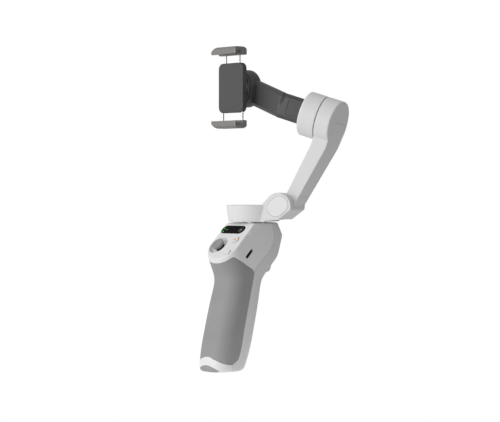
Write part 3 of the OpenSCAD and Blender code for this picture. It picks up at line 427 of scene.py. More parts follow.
def spline(xs, ys, x):
    """Smooth curve through points, without overshoot (monotone cubic)."""
    xs, ys = np.asarray(xs, float), np.asarray(ys, float)
    h, d = np.diff(xs), np.diff(ys) / np.diff(xs)
    inner = np.where(d[:-1] * d[1:] > 0, 2 * d[:-1] * d[1:] / (d[:-1] + d[1:] + 1e-12), 0)
    m = np.concatenate([[d[0]], inner, [d[-1]]])
    i = np.clip(np.searchsorted(xs, x) - 1, 0, len(h) - 1)
    t = (x - xs[i]) / h[i]
    return ((2 * t**3 - 3 * t**2 + 1) * ys[i] + (t**3 - 2 * t**2 + t) * h[i] * m[i]
            + (-2 * t**3 + 3 * t**2) * ys[i + 1] + (t**3 - t**2) * h[i] * m[i + 1])


def blurred(values, heights, sigma):
    """Gaussian blur down the handle, sigma in millimetres for each height."""
    gap = (heights[:, None] - heights[None, :]) / sigma[:, None]
    step = np.gradient(heights)
    w = np.exp(-0.5 * gap**2) * step[None, :]
    return (w / w.sum(axis=1, keepdims=True)) @ values


def head_support(z, head):
    """Support function of the hull of the head's sections, where it is cut at height z."""
    low = [q for q in head if q[0] <= z]
    high = [q for q in head if q[0] > z] or [head[3]]
    high_z, high_h = np.array([q[0] for q in high]), np.array([q[1] for q in high])
    h = np.full(AROUND, -NOWHERE)
    for low_z, low_h in low:
        t = np.clip((z - low_z) / np.maximum(high_z - low_z, 1e-9), 0, 1)[:, None]
        h = np.maximum(h, ((1 - t) * low_h[None, :] + t * high_h).max(axis=0))
    return h


def rounding(z):
    """How far the skin is drawn in at its foot and at its top."""
    foot = np.maximum(FOOT_ROUND**2 - (FOOT_ROUND - z)**2, 0)
    top = np.maximum(TOP_ROUND**2 - (z - TOP_Z + TOP_ROUND)**2, 0)
    ease = np.where(z < FOOT_ROUND, FOOT_ROUND - np.sqrt(foot), 0)
    return ease + np.where(z > TOP_Z - TOP_ROUND, TOP_ROUND - np.sqrt(top), 0)


def handle_grid():
    """The skin as rows of points from the insert's rim round the foot, up the handle and over its top."""
    head = section_supports()
    z = np.concatenate([np.arange(0, FOOT_BAND, FOOT_STEP), np.arange(FOOT_BAND, GRIP_BAND, GRIP_STEP),
                        np.arange(GRIP_BAND, TOP_Z - TOP_ROUND, HEAD_STEP),
                        np.linspace(TOP_Z - TOP_ROUND, TOP_Z, 8)])
    c, s = np.cos(ANGLES), np.sin(ANGLES)
    centre = centre_line(z)
    rows = np.zeros((len(z), AROUND))
    for i, height in enumerate(z):
        h = grip_support(height) if height < GRIP_H else head_support(height, head)
        rows[i] = radii_from_support(h, centre[i])
    rows = blurred(rows, z, np.interp(z, BLUR_Z, BLUR))
    to_panel = (z[:, None] - PANEL_Z + PANEL_Y - centre[:, None]) / np.minimum(s[None, :], -1e-6)
    faces_panel = (s[None, :] < -1e-6) & (to_panel > 0)
    rows = smooth_min(rows, np.where(faces_panel, to_panel, NOWHERE), PANEL_BLEND)
    rows = rows - rounding(z)[:, None]
    side = np.stack([rows * c, centre[:, None] + rows * s, np.broadcast_to(z[:, None], rows.shape)], axis=2)
    ring_c = np.stack([INSERT_R * c, INSERT_R * s, 0 * c], axis=1)
    under = [ring_c + (side[0] - ring_c) * t for t in np.linspace(0, 1, 9)[:-1]]
    inner = np.stack([STATOR_R * c, PAN_Y + STATOR_R * s, 0 * c + TOP_Z], axis=1)
    over = [side[-1] + (inner - side[-1]) * t for t in np.linspace(0, 1, 6)[1:]]
    return np.concatenate([np.array(under), side, np.array(over)])


class Skin:
    """A surface that is cut by fields and gets walls along the cuts."""

    def __init__(self, verts, faces):
        self.verts, self.faces = [Vector(v) for v in verts], [tuple(f) for f in faces]

    @classmethod
    def of_grid(cls, grid):
        """The surface through rows of points, each row closed on itself."""
        rows, around = grid.shape[:2]
        faces = []
        for i in range(rows - 1):
            for k in range(around):
                j = (k + 1) % around
                faces.append((i * around + k, i * around + j, (i + 1) * around + j, (i + 1) * around + k))
        return cls(grid.reshape(-1, 3), faces)

    def cut(self, field):
        """The part of the surface where field(points) is positive, cut exactly along its zero line."""
        pts = np.array([tuple(v) for v in self.verts])
        f = field(pts)
        f = np.where(np.abs(f) < 1e-6, 1e-6, f)
        verts, made, faces = [], {}, []

        def old(i):
            if i not in made:
                made[i] = len(verts)
                verts.append(self.verts[i])
            return made[i]

        def between(i, j):
            key = (min(i, j), max(i, j))
            if key not in made:
                a, b = key
                t = f[a] / (f[a] - f[b])
                made[key] = len(verts)
                verts.append(self.verts[a].lerp(self.verts[b], t))
            return made[key]

        for face in self.faces:
            inside = [f[i] > 0 for i in face]
            if all(inside):
                faces.append(tuple(old(i) for i in face))
            elif any(inside):
                out = []
                for n, i in enumerate(face):
                    j = face[(n + 1) % len(face)]
                    if f[i] > 0:
                        out.append(old(i))
                    if (f[i] > 0) != (f[j] > 0):
                        out.append(between(i, j))
                if len(out) > 2:
                    faces.append(tuple(out))
        return Skin(verts, faces)

    def normals(self):
        """The outward direction at each point."""
        n = [Vector((0, 0, 0)) for _ in self.verts]
        for f in self.faces:
            a, b, c = (self.verts[f[k]] for k in (0, 1, -1))
            k = (b - a).cross(c - a)
            for i in f:
                n[i] += k
        return [v.normalized() if v.length else Vector((0, 0, 1)) for v in n]

    def rim_edges(self):
        """The edges that only one face has, in that face's direction."""
        seen = {}
        for f in self.faces:
            for n, i in enumerate(f):
                j = f[(n + 1) % len(f)]
                if (j, i) in seen:
                    del seen[(j, i)]
                else:
                    seen[(i, j)] = 1
        return list(seen)

    def walled(self, depth, gap, pick=None, along=None):
        """The cut edge drawn back by gap and folded in by depth, along the inward normal or a given way."""
        n = self.normals()
        edges = self.rim_edges()
        if pick is not None:
            keep = pick(np.array([tuple(v) for v in self.verts]))
            edges = [e for e in edges if keep[e[0]] and keep[e[1]]]
        verts, faces = list(self.verts), list(self.faces)
        into = {}
        for i, j in edges:
            way = self.verts[j] - self.verts[i]
            for a in (i, j):
                into[a] = into.get(a, Vector((0, 0, 0))) + n[a].cross(way)
        low = {}
        for a, m in into.items():
            m = m.normalized() if m.length > 1e-12 else m
            verts[a] = self.verts[a] + m * gap
            step = along if along is not None else -n[a]
            low[a] = (len(verts), len(verts) + 1)
            verts.append(verts[a] + m * gap * 0.2 + step * depth * 0.25)
            verts.append(verts[a] + m * gap * 0.2 + step * depth)
        for i, j in edges:
            faces.append((j, i, low[i][0], low[j][0]))
            faces.append((low[j][0], low[i][0], low[i][1], low[j][1]))
        return Skin(verts, faces)


# Seams and openings of the skin, as fields that are zero along each edge
SEAM_TURNS = ((-0.69, 0.84), (-0.257, 0.63), (0.117, 0.44), (0.262, 0.26), (0.14, 0.0))


def seam_y(z):
    """Where the seam to the back shell runs, at each height."""
    seam = [(0, FOOT_Y - 3.9), (PAD_TOP, FOOT_Y - 2.1)]
    seam += [(GRIP_H * t, lean_y(GRIP_H * t) + SPINE_D) for t in (0.145, 0.5, 0.9, 1)]
    seam += [(TOP_Z - HEAD_H * drop, PAN_Y + HEAD_R * back) for back, drop in SEAM_TURNS]
    return spline([q[0] for q in seam], [q[1] for q in seam], z)


def behind_seam(p):
    """Distance behind the seam of the back shell."""
    return p[:, 1] - seam_y(np.clip(p[:, 2], 0, TOP_Z))


def under_panel(p):
    """Depth below the control panel's plane."""
    return ((p[:, 1] - PANEL_Y) - (p[:, 2] - PANEL_Z)) * S45


SLEEVE_PEAK = (PAN_Y - HEAD_R * 1.685, PANEL_Z - HEAD_R * 0.715 - PANEL_T / S45)
SLEEVE_BACK_Z = TOP_Z - HEAD_H * 0.85
SLEEVE_BACK_Y = lean_y(SLEEVE_BACK_Z) + SPINE_D
BACK_CORNER, PEAK_CORNER, WAVE_CORNER = 4.5, 1.2, 3.0
WAVE_TURN = (0, 12, 22, 33, 50, 70, 90, 120)
WAVE_HIGH = (15.1, 14.6, 13.3, 11.9, 9.25, 7.5, 6.7, 6.4)


def wave_z(p):
    """Height of the rubber's lower edge by the angle from the front, in degrees."""
    turn = np.degrees(np.arctan2(np.abs(p[:, 0]), -(p[:, 1] - FOOT_Y)))
    return spline(WAVE_TURN, WAVE_HIGH, np.minimum(turn, WAVE_TURN[-1]))


def in_sleeve(p):
    """Positive on the rubber: below its slanting top edge and the panel, and above the wave at the foot."""
    y0, z0 = SLEEVE_PEAK
    y1, z1 = SLEEVE_BACK_Y, SLEEVE_BACK_Z
    length = math.hypot(y1 - y0, z1 - z0)
    below = ((p[:, 1] - y0) * (z1 - z0) - (p[:, 2] - z0) * (y1 - y0)) / length
    back = (seam_y(np.clip(p[:, 2], 0, TOP_Z)) - p[:, 1]) * math.cos(LEAN)
    low = p[:, 2] - wave_z(p)
    f = smooth_min(below, back, BACK_CORNER)
    f = smooth_min(f, under_panel(p) - PANEL_T, PEAK_CORNER)
    return smooth_min(f, low, WAVE_CORNER)


PAD_ARC = (PAD_HALF**2 + PAD_TOP**2) / (2 * PAD_TOP)
PAD_BACK_Y = FOOT_Y - GRIP_DEPTHS[0] / 2 + 3


def in_pad(p):
    """Positive on the foot pad, under an arc at the front of the foot."""
    arc = PAD_ARC - np.hypot(p[:, 0], p[:, 2] - (PAD_TOP - PAD_ARC))
    return np.minimum(arc, PAD_BACK_Y - p[:, 1])


USB_AT = (PAN_Y - HEAD_R * 0.975, TOP_Z - HEAD_H * 0.537)
USB_L, USB_W, USB_DEEP = 11.8, 3.4, 2.2
POWER_AT = (PAN_Y - HEAD_R * 0.965, TOP_Z - HEAD_H * 0.178)
POWER_R, POWER_GAP, POWER_LOW = 1.75, 0.12, 0.45
USB_SIDE_X, POWER_SIDE_X = 10, 15
AWAY = 9.0


def usb_field(p):
    """Distance to the port's slot in the right side, which lies along the panel's slope."""
    u = (p[:, 1] - USB_AT[0]) * S45 + (p[:, 2] - USB_AT[1]) * S45
    v = -(p[:, 1] - USB_AT[0]) * S45 + (p[:, 2] - USB_AT[1]) * S45
    return np.where(p[:, 0] > USB_SIDE_X, pill_field(u, v, USB_L, USB_W), AWAY)


def power_field(p):
    """Distance to the power button's hole in the right side, kept off the control panel."""
    round_hole = np.hypot(p[:, 1] - POWER_AT[0], p[:, 2] - POWER_AT[1]) - POWER_R - POWER_GAP
    return np.where(p[:, 0] > POWER_SIDE_X, np.maximum(round_hole, POWER_LOW - under_panel(p)), AWAY)


def panel_uv(p):
    """Each point's place along the control panel, and whether it lies on it."""
    up = ((p[:, 1] - PANEL_Y) + (p[:, 2] - PANEL_Z)) * S45
    near = under_panel(p) < 1.0
    return p[:, 0], up, near


def panel_hole(at, outline):
    """The field of a hole in the control panel, where outline(x, up) is the distance about the place."""
    def field(p):
        x, up, near = panel_uv(p)
        return np.where(near, outline(x - at[0], up - at[1]), AWAY)
    return field


def disc_outline(radius):
    """The distance to a circle."""
    return lambda x, up: np.hypot(x, up) - radius


display_field = panel_hole(DISPLAY_AT, lambda x, up: pill_field(x, up, DISPLAY_L, DISPLAY_W))
dish_field = panel_hole(STICK_AT, disc_outline(DISH_D / 2 + 0.6))
record_field = panel_hole(RECORD_AT, disc_outline(RECORD_D / 2 + 0.25))
switch_field = panel_hole(SWITCH_AT, lambda x, up: rounded_field(
    x, up, SWITCH_W + 2 * SWITCH_GAP, SWITCH_H + 2 * SWITCH_GAP, SWITCH_CORNER + SWITCH_GAP))
TRIGGER_TOP, TRIGGER_LOW, TRIGGER_DROP = GRIP_H + HEAD_H * 0.385, GRIP_H + HEAD_H * 0.13, 1.1
TRIGGER_OUT = HEAD_R * 0.55
TRIGGER_HOLE_W, TRIGGER_HOLE_CORNER, TRIGGER_GAP = 16.6, 1.5, 0.7


def trigger_field(p):
    """Distance to the trigger's opening in the back."""
    low = TRIGGER_LOW - TRIGGER_DROP
    mid, half = (TRIGGER_TOP + low) / 2, (TRIGGER_TOP - low) / 2 + TRIGGER_GAP
    f = rounded_field(p[:, 0], p[:, 2] - mid, TRIGGER_HOLE_W, 2 * half, TRIGGER_HOLE_CORNER)
    return np.where(p[:, 1] > PAN_Y - TRIGGER_OUT * 0.32, f, AWAY)


def skin_object(skin, name, mat, replaces, smooth_angle=SHARP):
    """A piece of the skin as an object on the handle."""
    obj = new_object(name, skin.verts, skin.faces)
    return finish_mesh(obj, [mat], "handle", smooth_angle, replaces)


# Pieces of the skin
CUT_Z = GRIP_H * 0.3
SEAM_DEPTH, SEAM_GAP = 1.0, 0.10
AT_HOLE, AT_SEAM = 0.05, 0.02
skin = Skin.of_grid(handle_grid())
spine = skin.cut(behind_seam)
front = skin.cut(lambda p: -behind_seam(p))
sleeve = front.cut(in_sleeve)
rest = front.cut(lambda p: -in_sleeve(p))
upper = rest.cut(lambda p: p[:, 2] - CUT_Z)
lower = rest.cut(lambda p: CUT_Z - p[:, 2])
pad = lower.cut(in_pad)
cap = lower.cut(lambda p: -in_pad(p))

LEFTWARD, FORWARD = Vector((-1, 0, 0)), Vector((0, -1, 0))
for field, depth, way in ((usb_field, 3.0, LEFTWARD), (power_field, 1.6, LEFTWARD),
                          (display_field, 1.2, -PANEL_OUT), (dish_field, 0.01, -PANEL_OUT),
                          (record_field, 3.0, -PANEL_OUT), (switch_field, 3.0, -PANEL_OUT)):
    upper = upper.cut(field)
    upper = upper.walled(depth, 0.0, pick=lambda p, f=field: np.abs(f(p)) < AT_HOLE, along=way)
spine = spine.cut(trigger_field)
spine = spine.walled(9.0, 0.0, pick=lambda p: np.abs(trigger_field(p)) < AT_HOLE, along=FORWARD)


def on_seams(p):
    """True on the outer seams, false at the insert, the top opening and the holes' walls."""
    inner = (p[:, 2] < 0.01) & (np.hypot(p[:, 0], p[:, 1]) < INSERT_R + 0.1)
    top = (p[:, 2] > TOP_Z - 0.01) & (np.hypot(p[:, 0], p[:, 1] - PAN_Y) < STATOR_R + 0.1)
    seam = np.minimum(np.abs(behind_seam(p)), np.abs(in_sleeve(p)))
    seam = np.minimum(seam, np.abs(in_pad(p)))
    return ~inner & ~top & (seam < AT_SEAM)


def seamed(s):
    """The piece with its outer seams folded in."""
    return s.walled(SEAM_DEPTH, SEAM_GAP, on_seams)


skin_object(seamed(upper), "side_shell", LIGHT, ("front_shell", "front_panel"),
            smooth_angle=58)
# The back spine in painted shade
skin_object(seamed(spine), "spine_shell", PAINTED_SHADE, ("back_shell",))
skin_object(seamed(sleeve), "rubber_sleeve", RUBBER, ("grip_sleeve",))
skin_object(seamed(cap), "foot_cap", LIGHT, ("bottom_cap",))
RIB_PITCH, RIB_DEPTH, RIB_FADE = 2.2, 0.5, 0.6


def ribbed(s):
    """Vertical ribs across the foot pad, moved along the surface's normal."""
    n = s.normals()
    out = []
    for v, m in zip(s.verts, n):
        wave = 0.5 + 0.5 * math.cos(2 * math.pi * v.x / RIB_PITCH)
        edge = (PAD_ARC - math.hypot(v.x, v.z - (PAD_TOP - PAD_ARC))) / RIB_FADE
        off_floor = 1 if v.z > 0.3 else 0
        out.append(v - m * RIB_DEPTH * wave * min(1.0, max(0.0, edge)) * off_floor)
    return Skin(out, s.faces)


skin_object(seamed(ribbed(pad)), "ribbed_pad", PAD_RUBBER, ("foot_pad",))


# Arms, clamp and controls
def joint_line(name):
    """A joint's place, in millimetres, and its unit axis."""
    found = [j for j in frame["record"]["behaviour"]["joints"] if j["name"] == name][0]
    return Vector(found["pos_m"]) / MM, Vector(found["axis"]).normalized()


def reshaped(obj, rule):
    """Moves each point of a copied mesh by a rule in millimetres."""
    for v in obj.data.vertices:
        v.co = rule(v.co / MM) * MM


UPWARD = Vector((0, 0, 1))
FOLD_AT, FOLD_AXIS = joint_line("arm_fold")
EAR_R, EAR_FLAT, EAR_TURN = 13.5, 10.7, math.radians(37)
CAP_L, CAP_W, CAP_CORNER, CAP_OUT, CAP_GAP = 22.6, 17.6, 8.5, 23.0, 0.3
OUTWARD = FOLD_AXIS.cross(UPWARD).normalized()
EAR_LONG = OUTWARD * math.cos(EAR_TURN) + UPWARD * math.sin(EAR_TURN)
EAR_ACROSS = UPWARD * math.cos(EAR_TURN) - OUTWARD * math.sin(EAR_TURN)
EAR_FRAME = Matrix((EAR_LONG, EAR_ACROSS, EAR_LONG.cross(EAR_ACROSS))).transposed().to_4x4()


def flattened_ear(p):
    """The ears and the knuckle are cut flat below, and the cap's recess is filled to its face."""
    long, across = (p - FOLD_AT).dot(EAR_LONG), (p - FOLD_AT).dot(EAR_ACROSS)
    if math.hypot(long, across) < EAR_R + 0.2 and across < -EAR_FLAT:
        return p - EAR_ACROSS * (across + EAR_FLAT)
    deep = CAP_OUT + (p - FOLD_AT).dot(FOLD_AXIS)
    if math.hypot(long, across) < CAP_L / 2 and 0.01 < deep < 1.0:
        return p - FOLD_AXIS * deep
    return p


TILT_AT, TILT_AXIS = joint_line("tilt_turn")
TILT_R, TILT_GROW, CAN_LONGER = 21.5, 1.035, 0.12
TILT_PUSH, TILT_SWING = 1.3, 2.6
TILT_BACK = UPWARD.cross(TILT_AXIS).normalized()


def eased(value, low, high):
    """Goes smoothly from 0 at low to 1 at high."""
    t = min(1.0, max(0.0, (value - low) / (high - low)))
    return t * t * (3 - 2 * t)


def full_motor_end(p):
    """The arm's end widens to the motor's rim, and its outer face looks a little towards the front."""
    out = (p - TILT_AT).dot(TILT_AXIS)
    spoke = p - TILT_AT - TILT_AXIS * out
    near = eased(p.z, TILT_AT.z - TILT_R * 2.0, TILT_AT.z - TILT_R * 0.5)
    push = (TILT_PUSH + TILT_SWING * spoke.dot(TILT_BACK) / TILT_R) * eased(out, 2, 10)
    return p + spoke * (TILT_GROW - 1) * near + TILT_AXIS * push * near


def full_can(p):
    """The motor's can, a little wider and longer than the CAD's."""
    out = (p - TILT_AT).dot(TILT_AXIS)
    spoke = p - TILT_AT - TILT_AXIS * out
    return p + spoke * (TILT_GROW - 1) + TILT_AXIS * min(0.0, out * CAN_LONGER)


cover = moulded("pan_arm", "pan_cover", LIGHT, "pan_stage", 0.4, 8)
reshaped(cover, flattened_ear)
arm = moulded("upper_arm", "folding_arm", LIGHT, "arm_stage", 0.4, 12)
reshaped(arm, lambda p: full_motor_end(flattened_ear(p)))
back = softened("arm_cover", "arm_back_cover", LIGHT, "arm_stage", 0.35)
reshaped(back, full_motor_end)
can = softened("tilt_housing", "tilt_can", LIGHT, "tilt_stage", 0.8)
reshaped(can, full_can)
moulded("roll_arm", "dark_arm", DARK, "tilt_stage", 0.4, 6)
softened("roll_arm_cover", "dark_arm_strip", DARK_PANEL, "tilt_stage", 0.15)
softened("roll_stator", "roll_can", DARK, "tilt_stage", 0.5)
softened("roll_rotor", "roll_plate", DARK, "roll_stage", 0.5)
disc = softened("magnet_plate", "magnet_disc", STEEL, "roll_stage", 0.25)
DISC_GAP = Vector((0, 0.03, 0))
reshaped(disc, lambda p: p + DISC_GAP)
softened("clamp_base", "clamp_body", DARK, "clamp", 0.8)
for side in ("upper", "lower"):
    moulded(side + "_jaw", side + "_hook", JAW, side + "_clamp_jaw", 0.35, 6)
    softened(side + "_pad", side + "_cushion", RUBBER, side + "_clamp_jaw", 0.25)
# The trigger lever in painted shade
lever = softened("trigger", "trigger_lever", PAINTED_SHADE, "trigger_key", 0.8)


def full_trigger(p):
    """The lever's face stands out further, most at its foot, and its foot comes lower."""
    rise = (p.z - TRIGGER_LOW) / (TRIGGER_TOP - TRIGGER_LOW)
    share = min(1.0, max(0.0, ((p.y - PAN_Y) / TRIGGER_OUT - 0.2) / 0.3))
    out = share * np.interp(rise, (0, 0.15, 0.55, 0.8), (1.7, 1.5, 0.9, 0.0))
    drop = share * np.interp(rise, (0, 0.4), (TRIGGER_DROP, 0.0))
    return p + Vector((0, out, -drop))


reshaped(lever, full_trigger)
painted("tripod_insert", BRASS)
for name in ("key_switches", "handle_screws", "trigger_pin", "pan_stator", "pan_bearing",
             "joystick_yoke", "joystick_stem", "pan_rotor", "pan_shaft", "hinge_pin", "tilt_stator",
             "tilt_bearing", "tilt_rotor", "tilt_shaft", "roll_bearing", "roll_shaft", "clamp_magnets",
             "upper_rods", "lower_rods"):
    painted(name, STEEL)
painted("joystick_socket", SOCKET)
painted("main_board", BOARD)
painted("battery", CELL)
painted("usb_port", SOCKET)


# Display, keys and marks
def flat_skin(half_x, half_up, step, out):
    """A flat sheet of squares in the panel's frame, to be cut by fields."""
    xs, ups = np.arange(-half_x, half_x + step, step), np.arange(-half_up, half_up + step, step)
    verts = [panel_point(DISPLAY_AT[0] + x, up, out) for up in ups for x in xs]
    n = len(xs)
    faces = [(j * n + i, j * n + i + 1, (j + 1) * n + i + 1, (j + 1) * n + i)
             for j in range(len(ups) - 1) for i in range(n - 1)]
    return Skin(verts, faces)


def glass_field(p):
    """Positive on the display's glass, which is a little smaller than its hole."""
    x, up, _ = panel_uv(p)
    return -pill_field(x - DISPLAY_AT[0], up - DISPLAY_AT[1], DISPLAY_L - 0.3, DISPLAY_W - 0.3)


def mode_field(p):
    """Distance to the mode button's hole in the glass."""
    x, up, _ = panel_uv(p)
    return np.hypot(x - MODE_AT[0], up - MODE_AT[1]) - MODE_R - 0.15


glass = flat_skin(DISPLAY_L / 2, DISPLAY_W / 2, 0.5, -0.1).cut(glass_field).cut(mode_field)
skin_object(glass.walled(0.9, 0.0, along=-PANEL_OUT), "display_glass", GLOSS,
            ("display_window", "status_leds"))


def turned_cap(name, at, radius, crown, foot, mat, body, node, hollow=0.0):
    """A round key: a straight side, a rounded rim and a slightly hollow top."""
    rim = 0.35
    profile = [(0, foot), (radius, foot)]
    profile += [(radius - rim + rim * math.cos(a), crown - rim + rim * math.sin(a))
                for a in np.linspace(0, math.pi / 2, 5)]
    profile += [(radius * 0.55, crown - hollow * 0.8), (0, crown - hollow)]
    revolved(name, profile, on_panel(*at), mat, body, replaces=(node,), smooth_angle=40)


def mark(name, at, radius, out, mat, body, inner=0.0, stretch=1.0):
    """A thin printed spot or ring that lies on a key or on the glass."""
    place = on_panel(*at) @ Matrix.Diagonal((1, stretch, 1, 1))
    ring = [(inner, out - 0.03), (inner, out)] if inner else [(0, out)]
    revolved(name, ring + [(radius, out), (radius, out - 0.03)], place, mat, body, steps=40)


KEY_FOOT = -0.9
turned_cap("mode_cap", MODE_AT, MODE_R, 0.15, KEY_FOOT, KEY_DARK, "mode_key", "mode_button", 0.12)
# Painted glow on the mode key's printed ring and mark
mark("mode_ring", MODE_AT, MODE_R * 0.80, 0.09, ICON, "mode_key", inner=MODE_R * 0.68)
mark("mode_mark", MODE_AT, MODE_R * 0.28, 0.06, ICON, "mode_key")
turned_cap("record_cap", RECORD_AT, RECORD_D / 2 - 0.1, 1.25, KEY_FOOT, LIGHT, "record_key",
           "record_button", 0.2)
# Painted glow on the record key's printed orange dot
mark("record_dot", RECORD_AT, 1.55, 1.10, ORANGE, "record_key")
GLASS_MARK = -0.06
UPPER_SPOT, LOWER_SPOT, ICON_SPOT = (-16.8, 1.3), (-16.1, -3.0), (-12.1, -0.4)
mark("status_spot_upper", UPPER_SPOT, 0.95, GLASS_MARK, GREEN, "handle")
mark("status_spot_lower", LOWER_SPOT, 1.05, GLASS_MARK, GREEN, "handle")
# Painted glow on the grey icon under the glass
mark("status_icon", ICON_SPOT, 0.55, GLASS_MARK, ICON, "handle", stretch=1.6)


def slab(name, outline, place, heights, mat, body, replaces=()):
    """A flat key: outline(inset) gives its points, heights is (inset, height) pairs from the foot up."""
    verts, faces = [], []
    for inset, high in heights:
        verts += [place @ Vector((x, y, high)) for x, y in outline(inset)]
    n = len(outline(0))
    for k in range(len(heights) - 1):
        for i in range(n):
            j = (i + 1) % n
            faces.append((k * n + i, k * n + j, (k + 1) * n + j, (k + 1) * n + i))
    faces.append(tuple(range(n))[::-1])
    faces.append(tuple((len(heights) - 1) * n + i for i in range(n)))
    obj = new_object(name, verts, faces)
    return finish_mesh(obj, [mat], body, 40, replaces)


def rounded_box(w, d, r):
    """The outline function of a rectangle with round corners."""
    def outline(inset):
        points = []
        for sx, sy, start in ((1, 1, 0), (-1, 1, 90), (-1, -1, 180), (1, -1, 270)):
            for a in np.radians(np.linspace(start, start + 90, 9)):
                points.append((sx * (w / 2 - r) + max(r - inset, 0.02) * math.cos(a),
                               sy * (d / 2 - r) + max(r - inset, 0.02) * math.sin(a)))
        return points
    return outline


KEY_EDGE = ((0, KEY_FOOT), (0, 0.75), (0.06, 0.92), (0.2, 1.04), (0.42, 1.08), (1.4, 1.0))
slab("switch_cap", rounded_box(SWITCH_W, SWITCH_H, SWITCH_CORNER), on_panel(*SWITCH_AT), KEY_EDGE, LIGHT,
     "switch_key", ("switch_button",))
cap_place = Matrix.Translation(FOLD_AT - FOLD_AXIS * CAP_OUT) @ EAR_FRAME
# Painted shade: a dark sheet a little larger than the cap, standing in for the shadow in its gap
slab("hinge_cap_gap_shade", rounded_box(CAP_L, CAP_W, CAP_CORNER), cap_place, ((0, -0.3), (0, 0.03)), GAP_SHADE,
     "pan_stage")
cap_outline = rounded_box(CAP_L - 2 * CAP_GAP, CAP_W - 2 * CAP_GAP, CAP_CORNER - CAP_GAP)
slab("hinge_cap_plate", cap_outline, cap_place,
     ((0, -0.2), (0, 0.05), (0.08, 0.14), (0.25, 0.18), (2.0, 0.19)), CAP_LIGHT, "pan_stage",
     ("hinge_cap",))
TO_RIGHT = Matrix.Rotation(math.radians(90), 4, "Y")
POWER_PLACE = Matrix.Translation((HEAD_W / 2, *POWER_AT)) @ TO_RIGHT
revolved("power_cap", [(0, KEY_FOOT), (POWER_R, KEY_FOOT), (POWER_R, 0.12), (POWER_R - 0.15, 0.25),
                       (POWER_R - 0.4, 0.3), (POWER_R - 0.7, 0.22), (0, 0.18)],
         POWER_PLACE, RING, "power_key", steps=48, replaces=("power_button",))
MOUTH_SPARE = 0.6
MOUTH_AT = Matrix.Translation((HEAD_W / 2 - USB_DEEP, *USB_AT))
MOUTH_PLACE = MOUTH_AT @ Matrix.Rotation(math.radians(45), 4, "X") @ TO_RIGHT
mouth_outline = rounded_box(USB_L + MOUTH_SPARE, USB_W + MOUTH_SPARE, USB_W / 2)
slab("port_mouth", lambda inset: [(y, x) for x, y in mouth_outline(inset)], MOUTH_PLACE,
     ((0, -0.4), (0, 0)), SOCKET, "handle")

# The joystick: a concave cap with a raised rim over a skirt
KNOB_WIDE, KNOB_SINK = 1.05, 0.2
SOFT_TURN = 50
KNOB_PROFILE = [(0, 1.9), (1.6, 1.92), (3.2, 2.05), (4.3, 2.3), (4.9, 2.55), (5.3, 2.62), (5.7, 2.5),
                (6.02, 2.2), (6.16, 1.8), (6.2, 1.35), (6.15, 1.0), (5.9, 0.75), (5.4, 0.6), (2.6, 0.35),
                (0, 0.35)]
SKIRT_PROFILE = [(6.1, 0.9), (6.0, 0.1), (5.75, -0.7), (5.2, -1.25), (4.6, -1.5), (1.2, -1.5)]
revolved("joystick_knob", KNOB_PROFILE,
         on_panel(*STICK_AT, -KNOB_SINK) @ Matrix.Diagonal((KNOB_WIDE, KNOB_WIDE, 1, 1)), STICK, "joystick",
         replaces=("joystick_cap",), smooth_angle=SOFT_TURN)
revolved("joystick_skirt", SKIRT_PROFILE, on_panel(*STICK_AT), STICK, "joystick",
         smooth_angle=SOFT_TURN)
# The dish: a soft rim, a cone that clears the leaned knob, and a floor with a collar round the stem
DISH_PROFILE = [(DISH_D / 2 + 0.62, -0.06), (DISH_D / 2 + 0.35, -0.02), (DISH_D / 2 + 0.1, -0.12),
                (DISH_D / 2 - 0.15, -0.4), (10.0, -1.6), (9.3, -3.2), (8.7, -3.7), (7.4, -3.85), (6.0, -3.9),
                (5.7, -3.85), (5.5, -3.6), (5.2, -3.55), (4.9, -3.7), (4.6, -4.2), (4.55, -5.2)]
revolved("joystick_dish", DISH_PROFILE, on_panel(*STICK_AT), LIGHT, "handle",
         smooth_angle=SOFT_TURN)

# Camera, where the photo was taken from
AZIMUTH = math.radians(46.7)
DISTANCE, HEIGHT, FOCAL_PX, FRAME_PX, SENSOR = 1740.0, 179.4, 1740.0, 500.0, 36
SHIFT_PX = (-5, -23)
data = bpy.data.cameras.new("camera")
cam = bpy.data.objects.new("camera", data)
bpy.context.scene.collection.objects.link(cam)
data.sensor_width = SENSOR
data.lens = SENSOR * FOCAL_PX / FRAME_PX
data.shift_x, data.shift_y = SHIFT_PX[0] / FRAME_PX, SHIFT_PX[1] / FRAME_PX
data.clip_start, data.clip_end = 0.05, 60
towards = Vector((math.sin(AZIMUTH), -math.cos(AZIMUTH), 0))
cam.location = (Vector((0, PAN_Y, HEIGHT)) + towards * DISTANCE) * MM
cam.rotation_euler = (-towards).to_track_quat("-Z", "Y").to_euler()
bpy.context.scene.camera = cam

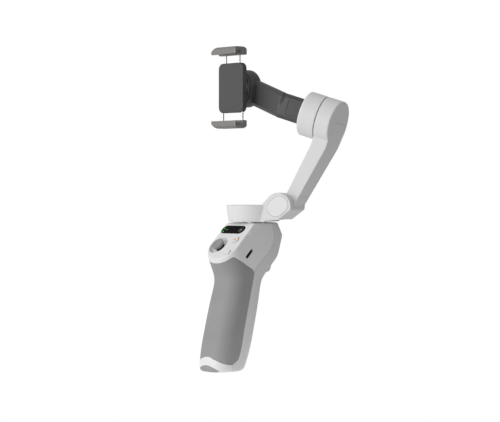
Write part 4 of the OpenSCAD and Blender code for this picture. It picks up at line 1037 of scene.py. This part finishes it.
# Light and floor: a white studio, brighter at the front left, which the camera sees as plain white
world = bpy.data.worlds.new("studio")
bpy.context.scene.world = world
world.use_nodes = True
sky = world.node_tree.nodes["Background"]
sky.inputs["Color"].default_value = (1, 1, 1, 1)
BRIGHT_SIDE = Vector((-0.5, -0.8, 0.15)).normalized()
DARK_END, BRIGHT_END = 0.36, 0.90
seen = add(world.node_tree, "ShaderNodeLightPath")
where = add(world.node_tree, "ShaderNodeTexCoord")
facing = add(world.node_tree, "ShaderNodeVectorMath", operation="DOT_PRODUCT")
facing.inputs[1].default_value = BRIGHT_SIDE
world.node_tree.links.new(where.outputs["Generated"], facing.inputs[0])
fall = ranged(world.node_tree, facing.outputs["Value"], DARK_END, BRIGHT_END, -0.6, 1.0)
glow = add(world.node_tree, "ShaderNodeMix", data_type="FLOAT")
glow.inputs["B"].default_value = 1.0
world.node_tree.links.new(seen.outputs["Is Camera Ray"], glow.inputs["Factor"])
world.node_tree.links.new(fall, glow.inputs["A"])
world.node_tree.links.new(glow.outputs["Result"], sky.inputs["Strength"])
bpy.context.scene.view_settings.view_transform = "Standard"


def lamp(name, at, target, size, power):
    """A round area lamp that looks at its target."""
    d = bpy.data.lights.new(name, "AREA")
    d.shape = "DISK"
    d.size, d.energy = size, power
    o = bpy.data.objects.new(name, d)
    o.location = at
    o.rotation_euler = (Vector(target) - Vector(at)).to_track_quat("-Z", "Y").to_euler()
    bpy.context.scene.collection.objects.link(o)


AIM, KEY_AT = (0, 0.03, 0.17), (-0.25, -1.7, 0.55)
lamp("key", KEY_AT, AIM, 1.0, 12)
FLOOR_R, FLOOR_Y, FLOOR_Z, FLOOR_STEPS = 170.0, 20, -0.05, 64
turn = [2 * math.pi * k / FLOOR_STEPS for k in range(FLOOR_STEPS)]
floor = new_object("floor", [(FLOOR_R * math.cos(a), FLOOR_Y + FLOOR_R * math.sin(a), FLOOR_Z) for a in turn],
                   [tuple(range(FLOOR_STEPS))])
floor_white, _, floor_shader = node_material("floor_white", (0, 0, 0), 1.0, specular=0.0)
floor_shader.inputs["Emission Color"].default_value = (1, 1, 1, 1)
floor_shader.inputs["Emission Strength"].default_value = 1.0
floor.data.materials.append(floor_white)
